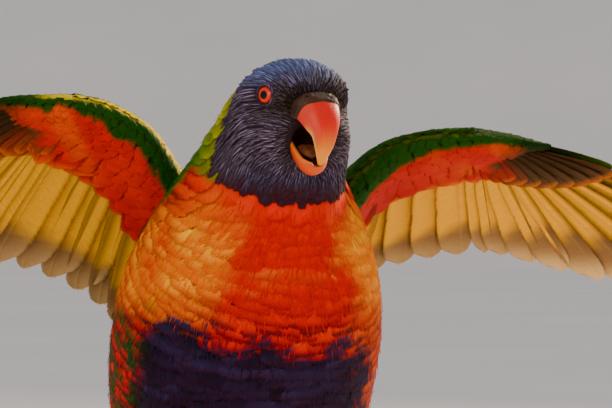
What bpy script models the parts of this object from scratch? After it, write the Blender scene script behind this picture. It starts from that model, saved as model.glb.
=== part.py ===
"""A life-size rainbow lorikeet, standing with its wings raised and its bill open.

The bird faces -Y with its left side at +X, and stands on the floor at Z = 0.
Sizes are in millimetres and become metres where a mesh is made.
"""

import math

import bmesh
import bpy
import numpy as np

MM = 0.001
GAP = 0.3

# Where the bird stands, so that the origin is under the middle of the whole outline
STANCE_X = -2.453
STANCE_Y = -57.038

# The body is a row of slanted sections from the face to the root of the tail.
# Each has its back point (y, z), its front point (y, z) and its half width.
BODY_SECTIONS = (
    ((-46.6, 148.8), (-42.0, 129.5), 7.0),
    ((-46.8, 152.6), (-40.5, 126.5), 10.9),
    ((-43.0, 156.4), (-39.5, 123.5), 14.1),
    ((-36.0, 158.0), (-38.3, 120.0), 16.0),
    ((-28.0, 156.8), (-37.6, 116.0), 17.2),
    ((-20.5, 152.8), (-37.2, 111.5), 18.3),
    ((-14.0, 146.5), (-37.2, 106.5), 20.2),
    ((-8.0, 139.5), (-37.4, 101.0), 24.0),
    ((-1.0, 131.5), (-36.8, 94.0), 29.6),
    ((9.0, 122.0), (-35.2, 85.5), 34.2),
    ((19.0, 111.5), (-31.8, 76.0), 37.0),
    ((28.0, 99.0), (-25.8, 65.0), 37.8),
    ((35.5, 86.0), (-17.0, 53.5), 36.4),
    ((42.0, 73.0), (-5.0, 42.5), 32.5),
    ((48.5, 60.5), (10.0, 33.5), 27.5),
    ((55.0, 50.0), (27.0, 28.0), 21.0),
    ((61.0, 42.0), (43.0, 26.0), 14.5),
    ((66.0, 37.0), (57.0, 26.5), 9.5),
)
BODY_RINGS = 34
BODY_SIDES = 26
BODY_FULLNESS = 2.2
# The breast leans to the bird's right, most between the first and last of these sections.
BREAST_LEAN = -1.8
LEAN_FIRST, LEAN_LAST = 5.0, 14.0
# The face is pinched in ahead of the eyes, at the height of the lores.
LORE_PINCH, LORE_HEIGHT, LORE_SPREAD = 0.27, 142.8, 3.7
LORE_REAR, LORE_FRONT = -34.0, -43.5
# The feathers of the flanks puff out over the thighs.
FLANK_MIDDLE, FLANK_SIZE = (25.5, 11.0, 66.0), (10.5, 17.0, 21.0)
NECK_TOP = ((-27.0, 130.5), (-0.25, 0.97))
NECK_FOOT = ((-16.0, 113.5), (-0.55, 0.835))

# The head turns to the bird's left about an upright line through the neck.
HEAD_TURN = math.radians(9.0)
TURN_Y = -26.0
TURN_FULL, TURN_NONE = 5.0, 9.0
FACE_Y = -34.0

EYE_RADIUS = 3.7
EYE_PLACE = (6.4, 9.1, 147.6)
EYE_FORWARD = math.radians(26.0)
LID_THICKNESS, LID_OPENING = 0.65, 2.3
MOUTH_CENTRE, MOUTH_SIZE = (9.5, 0.0, 135.6), (4.4, 6.0, 4.4)

# Bill sections: (forward, height) of the ridge, of the lower edge, and the half width
UPPER_BILL = (
    ((11.4, 148.2), (9.0, 139.8), 5.5),
    ((15.6, 147.5), (12.2, 139.3), 5.6),
    ((18.6, 145.3), (14.2, 138.4), 5.3),
    ((20.6, 142.0), (15.8, 137.2), 4.7),
    ((21.3, 138.4), (17.3, 136.0), 3.8),
    ((20.5, 134.7), (17.5, 133.4), 2.5),
    ((18.7, 131.6), (16.9, 131.2), 1.5),
    ((16.8, 129.3), (15.9, 129.6), 0.5),
)
CERE_PLANE = ((15.4, 147.0), (0.70, -0.71))
NOSTRIL_PLACE, NOSTRIL_RADIUS = (13.6, 2.9, 146.6), 0.75
# Lower bill: keel (forward, height), rim (forward, height) and half width
LOWER_BILL = (
    ((5.4, 131.6), (5.4, 137.0), 4.8),
    ((8.4, 128.6), (8.4, 135.8), 5.0),
    ((11.0, 126.8), (11.0, 133.6), 4.8),
    ((13.2, 127.0), (13.2, 131.2), 3.8),
    ((14.7, 128.7), (14.7, 129.9), 1.9),
)
LOWER_BILL_WALL = 0.9
TONGUE = (
    ((5.6, 134.6), (5.6, 132.4), 1.9),
    ((8.6, 134.9), (8.6, 132.0), 2.5),
    ((11.0, 133.7), (10.6, 131.4), 2.1),
    ((12.6, 131.9), (12.0, 130.9), 0.9),
)

# Legs, given for the left side
THIGH = (
    ((15.0, 12.0, 50.0), 11.0, 13.0),
    ((16.5, 12.0, 38.0), 8.8, 10.8),
    ((17.5, 14.0, 29.0), 6.2, 7.4),
    ((18.0, 16.0, 22.5), 4.0, 4.4),
)
ANKLE = (18.0, 16.6, 21.6)
FOOT_MIDDLE = (18.5, 8.0, 3.6)
SHANK_RADIUS = 2.5
# Toes: heading from straight ahead, turning outwards, length, radius at the root
TOES = (
    (-14.0, 17.0, 1.9),
    (20.0, 23.0, 2.1),
    (150.0, 19.0, 2.0),
    (198.0, 12.0, 1.8),
)
TOE_HEIGHT = 1.5
SOLE_SIZE = (3.0, 3.4, 2.3)
CLAW_LENGTH, CLAW_RADIUS, CLAW_ARCH, CLAW_DROP = 6.5, 1.15, 1.7, 1.1

# Tail
TAIL_ROOT = (57.0, 32.5)
TAIL_PITCH = math.radians(-15.0)
TAIL_PAIR_LENGTHS = (116.0, 106.0, 97.0, 89.0, 82.0, 75.0)
TAIL_PAIR_ANGLES = (1.6, 4.6, 7.6, 10.6, 13.6, 16.8)
TAIL_STEP = 0.95
TAIL_CORE = (
    ((54.0, 39.0), (54.0, 26.5), 9.0),
    ((68.0, 35.0), (66.0, 25.5), 8.6),
    ((82.0, 28.5), (80.0, 21.5), 7.6),
)
TAIL_COVERTS = (34.0, 30.0, 26.0)

# Wings. Leading edge points run from inside the shoulder to the wrist, then to the
# end of the hand. Ways are the directions of the feathers, as keys from in to out.
WINGS = {
    "right": {
        "edge": (
            (-9.0, 9.0, 109.0),
            (-18.0, 1.0, 125.0),
            (-29.0, -6.0, 138.0),
            (-41.0, -10.0, 144.6),
            (-52.0, -13.0, 147.0),
        ),
        "hand_end": (-76.0, -8.0, 146.6),
        "arm_ways": ((0.10, 0.76, -0.64), (-0.02, 0.78, -0.62), (-0.27, 0.76, -0.59)),
        "hand_ways": ((-0.27, 0.76, -0.59), (-0.68, 0.60, -0.42), (-0.92, 0.37, -0.13)),
    },
    "left": {
        "edge": (
            (12.0, 7.0, 107.0),
            (25.5, -1.0, 122.0),
            (36.5, -5.0, 133.6),
            (48.5, -8.0, 137.4),
            (60.5, -9.0, 138.2),
        ),
        "hand_end": (84.7, -2.0, 135.3),
        "arm_ways": ((-0.06, 0.87, -0.49), (0.11, 0.87, -0.48), (0.35, 0.83, -0.44)),
        "hand_ways": ((0.35, 0.83, -0.44), (0.70, 0.60, -0.38), (0.895, 0.385, -0.22)),
    },
}
ARM_FEATHERS, HAND_FEATHERS = 10, 10
ARM_LENGTHS = (34.0, 50.0, 55.0, 58.0, 61.0)
HAND_LENGTHS = (62.0, 71.0, 85.0, 101.0, 112.0, 108.0)
# Depth and thickness of the fleshy wing along the arm, then along the hand
ARM_DEPTHS, ARM_THICKNESSES = (30.0, 28.0, 23.0, 16.0, 12.0), (15.0, 13.0, 10.0, 8.0, 7.0)
HAND_DEPTHS, HAND_THICKNESSES = (12.0, 9.5, 6.0), (7.0, 5.6, 3.6)
ROOT_DEPTH = 0.62
FLIGHT_ROLL = math.radians(11.0)
COVERT_ROLL = math.radians(5.0)
FEATHER_DROOP = 0.05
VANE_THICKNESS = 0.6
# Coverts: how high they lie over the feathers and how far back they start, as a share
# of the flesh's thickness and in millimetres, and how long they are
GREATER_LIFT, GREATER_BACK = 0.34, 3.5
MEDIAN_LIFT, MEDIAN_BACK, MEDIAN_LENGTH = 0.44, 5.5, 14.0
COVERT_SPREAD = 1.35

COLOURS = {
    "head": (0.075, 0.065, 0.22, 0.6),
    "neck": (0.09, 0.07, 0.26, 0.6),
    "torso": (0.78, 0.10, 0.01, 0.6),
    "tail": (0.06, 0.22, 0.02, 0.6),
    "wing": (0.70, 0.30, 0.01, 0.6),
    "thigh": (0.10, 0.25, 0.02, 0.6),
    "foot": (0.16, 0.15, 0.15, 0.6),
    "eye": (0.75, 0.04, 0.01, 0.1),
    "cere": (0.12, 0.08, 0.05, 0.45),
    "bill": (0.85, 0.07, 0.01, 0.3),
    "tongue": (0.25, 0.09, 0.03, 0.4),
}


def clear_scene():
    """Starts from an empty scene and makes the part's two collections."""
    for old in list(bpy.data.objects):
        bpy.data.objects.remove(old)
    made = {}
    for name in ("rainbow_lorikeet", "joined_pieces"):
        made[name] = bpy.data.collections.new(name)
        bpy.context.scene.collection.children.link(made[name])
    return made


COLLECTIONS = clear_scene()


def mesh_object(name, points, faces, joining=False):
    """An object from points in millimetres, moved to where the bird stands."""
    mesh = bpy.data.meshes.new(name)
    placed = (np.asarray(points, float) + (STANCE_X, STANCE_Y, 0.0)) * MM
    mesh.from_pydata(placed.tolist(), [], [tuple(int(i) for i in f) for f in faces])
    made = bpy.data.objects.new(name, mesh)
    COLLECTIONS["joined_pieces" if joining else "rainbow_lorikeet"].objects.link(made)
    return made


def unit(v):
    """The direction of v."""
    return np.asarray(v, float) / np.linalg.norm(v)


def along_keys(keys, t):
    """A smooth curve through evenly spaced keys, at t from 0 to 1 (Catmull-Rom)."""
    keys = np.asarray(keys, float)
    last = len(keys) - 1
    place = min(max(t, 0.0), 1.0) * last
    i = min(int(place), last - 1)
    u = place - i
    before, a, b, after = (keys[min(max(k, 0), last)] for k in (i - 1, i, i + 1, i + 2))
    if i == 0:
        before = 2 * a - b
    if i == last - 1:
        after = 2 * b - a
    return 0.5 * (
        2 * a
        + (b - before) * u
        + (2 * before - 5 * a + 4 * b - after) * u**2
        + (3 * a - before - 3 * b + after) * u**3
    )


def loft(name, rings, joining=False):
    """A closed body through rings of equal count, each end closed by a fan."""
    rings = np.asarray(rings, float)
    rows, sides = rings.shape[:2]
    points = list(rings.reshape(-1, 3))
    faces = []
    for r in range(rows - 1):
        for s in range(sides):
            a, b = r * sides + s, r * sides + (s + 1) % sides
            faces += [(a, b, b + sides), (a, b + sides, a + sides)]
    for r, flip in ((0, True), (rows - 1, False)):
        points.append(rings[r].mean(axis=0))
        hub = len(points) - 1
        for s in range(sides):
            a, b = r * sides + s, r * sides + (s + 1) % sides
            faces.append((b, a, hub) if flip else (a, b, hub))
    made = mesh_object(name, points, faces, joining)
    face_outwards(made)
    return made


def plate(name, top, bottom, joining=True):
    """A closed plate between two grids, split into triangles alike on both faces."""
    rows, cols = np.asarray(top).shape[:2]
    points = np.concatenate([np.reshape(top, (-1, 3)), np.reshape(bottom, (-1, 3))])
    under = rows * cols
    faces = []
    for r in range(rows - 1):
        for c in range(cols - 1):
            a, b = r * cols + c, r * cols + c + 1
            d, e = a + cols, b + cols
            faces += [(a, b, e), (a, e, d)]
            faces += [(under + a, under + e, under + b), (under + a, under + d, under + e)]
    rim = [c for c in range(cols)]
    rim += [r * cols + cols - 1 for r in range(1, rows)]
    rim += [(rows - 1) * cols + c for c in range(cols - 2, -1, -1)]
    rim += [r * cols for r in range(rows - 2, 0, -1)]
    for a, b in zip(rim, rim[1:] + rim[:1]):
        faces += [(b, a, under + a), (b, under + a, under + b)]
    made = mesh_object(name, points, faces, joining)
    face_outwards(made)
    return made


def face_outwards(made):
    """Turns every face of a closed body outwards."""
    edit = bmesh.new()
    edit.from_mesh(made.data)
    bmesh.ops.recalc_face_normals(edit, faces=edit.faces)
    if edit.calc_volume(signed=True) < 0:
        bmesh.ops.reverse_faces(edit, faces=edit.faces)
    edit.to_mesh(made.data)
    edit.free()


def bake_modifiers(made):
    """Replaces the object's mesh by what its modifiers give."""
    graph = bpy.context.evaluated_depsgraph_get()
    mesh = bpy.data.meshes.new_from_object(made.evaluated_get(graph))
    made.modifiers.clear()
    made.data = mesh


def boolean(made, operation, others):
    """One Boolean with a collection of closed bodies, which are then removed."""
    pieces = COLLECTIONS["joined_pieces"]
    for other in list(pieces.objects):
        pieces.objects.unlink(other)
    for other in others:
        pieces.objects.link(other)
    cut = made.modifiers.new(operation.lower(), "BOOLEAN")
    cut.operation = operation
    cut.operand_type = "COLLECTION"
    cut.collection = pieces
    cut.solver = "MANIFOLD"
    bake_modifiers(made)
    for other in list(pieces.objects):
        bpy.data.objects.remove(other)


def keep_largest(made):
    """Drops every closed surface but the largest, and so fills sealed hollows."""
    edit = bmesh.new()
    edit.from_mesh(made.data)
    left, islands = set(edit.faces), []
    while left:
        island, todo = set(), [left.pop()]
        while todo:
            face = todo.pop()
            island.add(face)
            for edge in face.edges:
                near = [f for f in edge.link_faces if f in left]
                left.difference_update(near)
                todo.extend(near)
        islands.append(island)
    largest = max(islands, key=lambda faces: sum(f.calc_area() for f in faces))
    loose = [f for island in islands if island is not largest for f in island]
    bmesh.ops.delete(edit, geom=loose, context="FACES")
    bmesh.ops.triangulate(edit, faces=edit.faces)
    edit.to_mesh(made.data)
    edit.free()


def box_cutter(low, high):
    """A box between two corners, in millimetres, for cutting with."""
    low, high = np.asarray(low, float), np.asarray(high, float)
    signs = np.array([(x, y, z) for z in (0, 1) for y in (0, 1) for x in (0, 1)])
    points = low + signs * (high - low)
    faces = ((0, 2, 3, 1), (4, 5, 7, 6), (0, 1, 5, 4), (2, 6, 7, 3), (0, 4, 6, 2), (1, 3, 7, 5))
    made = mesh_object("box", points, faces, joining=True)
    face_outwards(made)
    return made


def ball(centre, radii, joining=True, sides=16, name="ball", axis=None):
    """A stretched sphere. Its poles lie along axis, or along Z."""
    edit = bmesh.new()
    bmesh.ops.create_uvsphere(edit, u_segments=sides, v_segments=sides // 2 + 1, radius=1.0)
    points = np.array([v.co for v in edit.verts]) * np.asarray(radii, float)
    if axis is not None:
        z = unit(axis)
        x = unit(np.cross((0.0, 0.0, 1.0), z))
        points = points @ np.array([x, np.cross(z, x), z])
    faces = [[v.index for v in f.verts] for f in edit.faces]
    edit.free()
    made = mesh_object(name, points + np.asarray(centre, float), faces, joining)
    face_outwards(made)
    return made


def half_space(made, point, normal, keep_above):
    """Cuts a body by a plane and closes it, keeping the side the normal points to."""
    normal = unit(normal) * (1.0 if keep_above else -1.0)
    edit = bmesh.new()
    edit.from_mesh(made.data)
    place = (np.asarray(point, float) + (STANCE_X, STANCE_Y, 0.0)) * MM
    found = bmesh.ops.bisect_plane(
        edit,
        geom=list(edit.verts) + list(edit.edges) + list(edit.faces),
        dist=1e-7,
        plane_co=place.tolist(),
        plane_no=normal.tolist(),
        clear_inner=True,
    )
    rim = [e for e in found["geom_cut"] if isinstance(e, bmesh.types.BMEdge)]
    bmesh.ops.contextual_create(edit, geom=rim)
    bmesh.ops.triangulate(edit, faces=edit.faces)
    edit.to_mesh(made.data)
    edit.free()
    face_outwards(made)


def turn_head(points, share=1.0):
    """Turns points about the upright line through the neck, by a share of the turn."""
    angle = HEAD_TURN * np.asarray(share)
    points = np.array(points, float)
    x, y = points[..., 0].copy(), points[..., 1] - TURN_Y
    points[..., 0] = x * np.cos(angle) - y * np.sin(angle)
    points[..., 1] = TURN_Y + x * np.sin(angle) + y * np.cos(angle)
    return points


def head_place(forward, left, height):
    """A point given in the head's own terms, in the bird's frame."""
    return turn_head((left, FACE_Y - forward, height))


def section_ring(back, front, half_width, sides, fullness=2.0, grow=0.0):
    """A superellipse between a back and a front point (y, z), as wide as asked."""
    back, front = np.asarray(back, float), np.asarray(front, float)
    middle, axis = (back + front) / 2, (back - front) / 2
    axis = axis * (1 + grow / np.linalg.norm(axis))
    angle = np.arange(sides) * 2 * math.pi / sides
    power = 2 / fullness
    lengthwise = np.sign(np.cos(angle)) * np.abs(np.cos(angle)) ** power
    sideways = np.sign(np.sin(angle)) * np.abs(np.sin(angle)) ** power
    yz = middle + lengthwise[:, None] * axis
    return np.column_stack([sideways * (half_width + grow), yz])


def pinch_face(ring):
    """Narrows the face by a share that falls off with height from the lores (a bell
    curve) and grows smoothly from behind the eye to the bill."""
    ahead = np.clip((LORE_REAR - ring[:, 1]) / (LORE_REAR - LORE_FRONT), 0, 1)
    ahead = ahead * ahead * (3 - 2 * ahead)
    level = np.exp(-(((ring[:, 2] - LORE_HEIGHT) / LORE_SPREAD) ** 2))
    ring[:, 0] *= 1 - LORE_PINCH * ahead * level
    return ring


def body_keys(place):
    """Back point, front point and half width at a place counted in sections."""
    t = place / (len(BODY_SECTIONS) - 1)
    back = along_keys([s[0] for s in BODY_SECTIONS], t)
    front = along_keys([s[1] for s in BODY_SECTIONS], t)
    return back, front, float(along_keys([[s[2]] for s in BODY_SECTIONS], t)[0])


def body(name, grow=0.0, joining=False):
    """The whole body from the face to the root of the tail, grown by some millimetres."""
    last = len(BODY_SECTIONS) - 1
    rings = []
    for place in np.linspace(0, last, BODY_RINGS):
        back, front, half_width = body_keys(place)
        ring = section_ring(back, front, half_width, BODY_SIDES, BODY_FULLNESS, grow)
        ring = pinch_face(ring)
        lean = np.clip((place - LEAN_FIRST) / (LEAN_LAST - LEAN_FIRST), 0, 1)
        ring[:, 0] += BREAST_LEAN * math.sin(math.pi * lean) ** 2
        share = np.clip((TURN_NONE - place) / (TURN_NONE - TURN_FULL), 0, 1)
        rings.append(turn_head(ring, share * share * (3 - 2 * share)))
    if grow:
        rings[0] = rings[0] + unit(rings[0].mean(0) - rings[1].mean(0)) * grow
        rings[-1] = rings[-1] + unit(rings[-1].mean(0) - rings[-2].mean(0)) * grow
    return loft(name, rings, joining)


def flanks(grow):
    """The two puffs of feathers at the flanks, grown by some millimetres."""
    x, y, z = FLANK_MIDDLE
    size = np.add(FLANK_SIZE, grow)
    return [ball((side * x, y, z), size, sides=18) for side in (-1, 1)]


def body_cutter():
    """The body and flanks, grown by the gap that touching nodes keep."""
    grown = body("grown", GAP, joining=True)
    COLLECTIONS["joined_pieces"].objects.unlink(grown)
    boolean(grown, "UNION", flanks(GAP))
    return grown


def plane_point(yz):
    """A point of the mirror plane from its (y, z)."""
    return (0.0, *yz)


def eye_centre(side):
    """The middle of the eye on side -1 (right) or 1 (left)."""
    forward, left, height = EYE_PLACE
    return head_place(forward, side * left, height)


def eye_axis(side):
    """The way an eye looks: sideways and a little ahead."""
    ahead = head_place(math.sin(EYE_FORWARD), side * math.cos(EYE_FORWARD), 0.0)
    return unit(ahead - head_place(0.0, 0.0, 0.0))


def curve_to_mesh(name, curve):
    """A curve made into a closed mesh object that a Boolean can use."""
    drawn = bpy.data.objects.new(f"{name} drawn", curve)
    COLLECTIONS["joined_pieces"].objects.link(drawn)
    graph = bpy.context.evaluated_depsgraph_get()
    mesh = bpy.data.meshes.new_from_object(drawn.evaluated_get(graph))
    made = bpy.data.objects.new(name, mesh)
    made.matrix_world = drawn.matrix_world
    bpy.data.objects.remove(drawn)
    edit = bmesh.new()
    edit.from_mesh(mesh)
    bmesh.ops.remove_doubles(edit, verts=edit.verts, dist=1e-6)
    edit.to_mesh(mesh)
    edit.free()
    COLLECTIONS["joined_pieces"].objects.link(made)
    face_outwards(made)
    return made


def tube(name, points, radii, resolution=1):
    """A round tube of changing radius through points, as a curve made into a mesh."""
    curve = bpy.data.curves.new(name, "CURVE")
    curve.dimensions = "3D"
    curve.bevel_depth = MM
    curve.bevel_resolution = resolution
    curve.use_fill_caps = True
    spline = curve.splines.new("POLY")
    spline.points.add(len(points) - 1)
    for point, place, radius in zip(spline.points, points, radii):
        point.co = (*((np.asarray(place, float) + (STANCE_X, STANCE_Y, 0.0)) * MM), 1.0)
        point.radius = radius
    return curve_to_mesh(name, curve)


def make_head_neck_torso():
    """Head with lids, sockets and mouth, then the neck and torso, parted by thin cuts."""
    nodes = {}
    for name in ("head", "neck", "torso"):
        nodes[name] = body(name)
    (top, top_way), (foot, foot_way) = NECK_TOP, NECK_FOOT
    shift = GAP / 2
    for name, cut, way, above in (
        ("head", top, top_way, True),
        ("neck", top, top_way, False),
        ("neck", foot, foot_way, True),
        ("torso", foot, foot_way, False),
    ):
        normal = unit(plane_point(way))
        point = np.array(plane_point(cut)) + normal * (shift if above else -shift)
        half_space(nodes[name], point, normal, above)
    head, torso = nodes["head"], nodes["torso"]
    socket = EYE_RADIUS + GAP
    lids, hollows = [], [ball(head_place(*MOUTH_CENTRE), MOUTH_SIZE)]
    for side in (-1, 1):
        centre, axis = eye_centre(side), eye_axis(side)
        lids.append(ball(centre, (socket + LID_THICKNESS,) * 3, sides=20, axis=axis))
        hollows.append(ball(centre, (socket,) * 3, axis=axis))
        ends = [centre, centre + axis * (socket + 3.0)]
        hollows.append(tube("opening", ends, (LID_OPENING, LID_OPENING), resolution=3))
    boolean(head, "UNION", lids)
    boolean(head, "DIFFERENCE", hollows)
    keep_largest(head)
    boolean(torso, "UNION", flanks(0.0))
    keep_largest(torso)
    return nodes


def make_eyes():
    """The two eyeballs, poles along the way they look."""
    made = {}
    for word, side in (("right", -1), ("left", 1)):
        name = f"eye_{word}"
        made[name] = ball(
            eye_centre(side), (EYE_RADIUS,) * 3, joining=False, sides=16, name=name,
            axis=eye_axis(side),
        )
    return made


def head_section(section, sides, fullness, grow=0.0):
    """A ring of the bill or tongue from its (forward, height) keys."""
    top, low, half_width = section
    back = (FACE_Y - top[0], top[1])
    front = (FACE_Y - low[0], low[1])
    return turn_head(section_ring(back, front, half_width, sides, fullness, grow))


def make_bill():
    """Upper bill and cere from one horn parted by a slanted plane, lower bill, tongue."""
    made = {}
    keys = [[*top, *low, width] for top, low, width in UPPER_BILL]
    rings = []
    for t in np.linspace(0, 1, 13):
        a, b, c, d, width = along_keys(keys, t)
        rings.append(head_section(((a, b), (c, d), width), 14, 2.3))
    (forward, height), (along, up) = CERE_PLANE
    normal = head_place(along, 0, up) - head_place(0, 0, 0)
    for name, above in (("cere", False), ("upper_bill", True)):
        made[name] = loft(name, rings)
        shift = unit(normal) * GAP / 2 * (1 if above else -1)
        half_space(made[name], head_place(forward, 0, height) + shift, normal, above)
        boolean(made[name], "DIFFERENCE", [body("grown", GAP, joining=True)])
    forward, left, height = NOSTRIL_PLACE
    pits = [
        ball(head_place(forward, side * left, height), (NOSTRIL_RADIUS,) * 3, sides=8)
        for side in (-1, 1)
    ]
    boolean(made["cere"], "DIFFERENCE", pits)
    angles = np.radians(np.linspace(-90, 90, 11))
    outer, inner = [], []
    for keel, rim, width in LOWER_BILL:
        for wall, grid in ((0.0, outer), (LOWER_BILL_WALL, inner)):
            f = keel[0] * np.cos(angles) + rim[0] * (1 - np.cos(angles))
            z = (keel[1] + wall) * np.cos(angles) + rim[1] * (1 - np.cos(angles))
            side = (width - wall) * np.sin(angles)
            grid.append(turn_head(np.column_stack([side, FACE_Y - f, z])))
    made["lower_bill"] = plate("lower_bill", inner, outer, joining=False)
    boolean(made["lower_bill"], "DIFFERENCE", [body("grown", GAP, joining=True)])
    rings = [head_section(s, 10, 2.0) for s in TONGUE]
    made["tongue"] = loft("tongue", rings)
    for node in made.values():
        keep_largest(node)
    return made


# Width of a vane at shares of its length, for flight feathers and for coverts
FLIGHT_OUTLINE = ((0.0, 0.55), (0.35, 1.0), (0.72, 1.0), (0.92, 0.68), (1.0, 0.22))
COVERT_OUTLINE = ((0.0, 0.75), (0.72, 1.0), (1.0, 0.3))


def vane(root, way, upper, length, widths, droop=0.0, roll=0.0, shares=FLIGHT_OUTLINE):
    """One feather: a thin plate along a bent quill line, widest past its middle, with a
    rounded tip. Widths are half widths at the root and near the tip."""
    way = unit(way)
    upper = unit(upper - way * np.dot(upper, way))
    side = np.cross(way, upper)
    rolled_side = side * math.cos(roll) + upper * math.sin(roll)
    rolled_up = upper * math.cos(roll) - side * math.sin(roll)
    across = (-1.0, 1.0)
    top, bottom = [], []
    for q, share in shares:
        place = np.asarray(root, float) + way * length * q
        place = place - upper * droop * length * q * q
        half = share * (widths[0] + (widths[1] - widths[0]) * q)
        rows = []
        for c in across:
            thick = VANE_THICKNESS * (1 - 0.3 * q)
            rows.append((place + rolled_side * c * half, rolled_up * thick / 2))
        top.append([p + up for p, up in rows])
        bottom.append([p - up for p, up in rows])
    return plate("vane", top, bottom)


def wing_frame(wing, side):
    """Functions that give the wing's leading edge, chord way, upper way, depth and
    thickness at a share of the arm (0 to 1) and then of the hand (1 to 2)."""
    arm_upper = side * np.cross(unit(np.subtract(wing["edge"][3], wing["edge"][1])),
                                unit(wing["arm_ways"][1]))
    hand_line = np.subtract(wing["hand_end"], wing["edge"][-1])
    hand_upper = side * np.cross(unit(hand_line), unit(wing["hand_ways"][0]))
    arm_upper, hand_upper = unit(arm_upper), unit(hand_upper)

    def place(t):
        if t <= 1:
            return along_keys(wing["edge"], t)
        return np.asarray(wing["edge"][-1]) + hand_line * (t - 1)

    def chord(t):
        """Across the wing, at right angles to the hand past the wrist."""
        way = unit(along_keys(wing["arm_ways"], min(t, 1.0)))
        if t > 1:
            square = way - unit(hand_line) * np.dot(way, unit(hand_line))
            way = unit(way + (unit(square) - way) * min((t - 1) * 2, 1.0))
        return way

    def upper(t):
        share = np.clip((t - 0.6) / 0.8, 0, 1)
        return unit(arm_upper + (hand_upper - arm_upper) * share)

    def depth(t):
        keys = [[d] for d in (ARM_DEPTHS if t <= 1 else HAND_DEPTHS)]
        return float(along_keys(keys, t if t <= 1 else t - 1)[0])

    def thickness(t):
        keys = [[d] for d in (ARM_THICKNESSES if t <= 1 else HAND_THICKNESSES)]
        return float(along_keys(keys, t if t <= 1 else t - 1)[0])

    return place, chord, upper, depth, thickness


# The fleshy wing's section, as shares of depth from the front and of thickness
WING_SECTION = (
    (0.0, 0.0), (0.10, 0.36), (0.35, 0.52), (0.70, 0.36), (1.0, 0.08),
    (1.0, -0.08), (0.70, -0.34), (0.35, -0.44), (0.10, -0.32),
)


def wing_core(wing, side):
    """The flesh and small coverts of the wing, from the shoulder to the hand's end."""
    place, chord, upper, depth, thickness = wing_frame(wing, side)
    rings = []
    for t in (0.0, 0.2, 0.4, 0.6, 0.8, 1.0, 1.2, 1.45, 1.7, 1.9, 2.0):
        ring = []
        narrow = 0.45 if t == 2.0 else 1.0
        for front, up in WING_SECTION:
            point = place(t) + chord(t) * depth(t) * (front * narrow)
            ring.append(point + upper(t) * thickness(t) * up * narrow)
        rings.append(ring)
    return loft("core", rings, joining=True)


def flight_feathers(wing, side):
    """Root, way, upper way, length and half widths of each flight feather, in to out."""
    place, chord, upper, depth, thickness = wing_frame(wing, side)
    found = []
    for i in range(ARM_FEATHERS):
        t = (i + 0.6) / ARM_FEATHERS
        root = place(t) + chord(t) * depth(t) * ROOT_DEPTH
        way = unit(along_keys(wing["arm_ways"], t))
        length = float(along_keys([[k] for k in ARM_LENGTHS], t)[0])
        found.append([root, way, upper(t), length, thickness(t)])
    for i in range(HAND_FEATHERS):
        h = (i + 0.25) / (HAND_FEATHERS - 0.75)
        root = place(1 + h) + chord(1 + h) * depth(1 + h) * ROOT_DEPTH
        way = unit(along_keys(wing["hand_ways"], h))
        length = float(along_keys([[k] for k in HAND_LENGTHS], h)[0])
        found.append([root, way, upper(1 + h), length, thickness(1 + h)])
    for i, feather in enumerate(found):
        near = found[i + 1] if i + 1 < len(found) else found[i - 1]
        spread_root = np.linalg.norm(near[0] - feather[0])
        reach = min(near[3], feather[3])
        tips = (near[0] + near[1] * reach) - (feather[0] + feather[1] * reach)
        spread_tip = np.linalg.norm(tips)
        feather.append((max(2.2, 0.85 * spread_root), min(6.8, max(3.6, 0.72 * spread_tip))))
    return found


def make_wing(word, side):
    """One wing: core, flight feathers, and covert tiers above and below, as one body."""
    wing = WINGS[word]
    core = wing_core(wing, side)
    core.name = f"wing_{word}"
    COLLECTIONS["joined_pieces"].objects.unlink(core)
    COLLECTIONS["rainbow_lorikeet"].objects.link(core)
    pieces = []
    feathers = flight_feathers(wing, side)
    for i, (root, way, upper, length, thick, widths) in enumerate(feathers):
        pieces.append(
            vane(root, way, upper, length, widths, FEATHER_DROOP, roll=-side * FLIGHT_ROLL)
        )
        # Greater coverts lie over every second feather's root, above and below, and
        # a shorter tier of median coverts lies over those on the arm.
        hand = i >= ARM_FEATHERS
        if i % 2 == 0 or i == len(feathers) - 1:
            lift, back = GREATER_LIFT * thick, GREATER_BACK * (0.4 if hand else 1.0)
            reach = (0.28 if hand else 0.40) * length
        elif not hand and i < ARM_FEATHERS - 1:
            lift, back, reach = MEDIAN_LIFT * thick, MEDIAN_BACK, MEDIAN_LENGTH
        else:
            continue
        for face in (1, -1):
            start = root + upper * face * lift - way * back
            spread = (COVERT_SPREAD * widths[0], COVERT_SPREAD * (0.6 * widths[0] + 0.4 * widths[1]))
            pieces.append(
                vane(start, way, upper, reach, spread, FEATHER_DROOP * reach / length,
                     roll=-side * COVERT_ROLL, shares=COVERT_OUTLINE)
            )
    boolean(core, "UNION", pieces)
    boolean(core, "DIFFERENCE", [body_cutter()])
    keep_largest(core)
    return core


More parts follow.
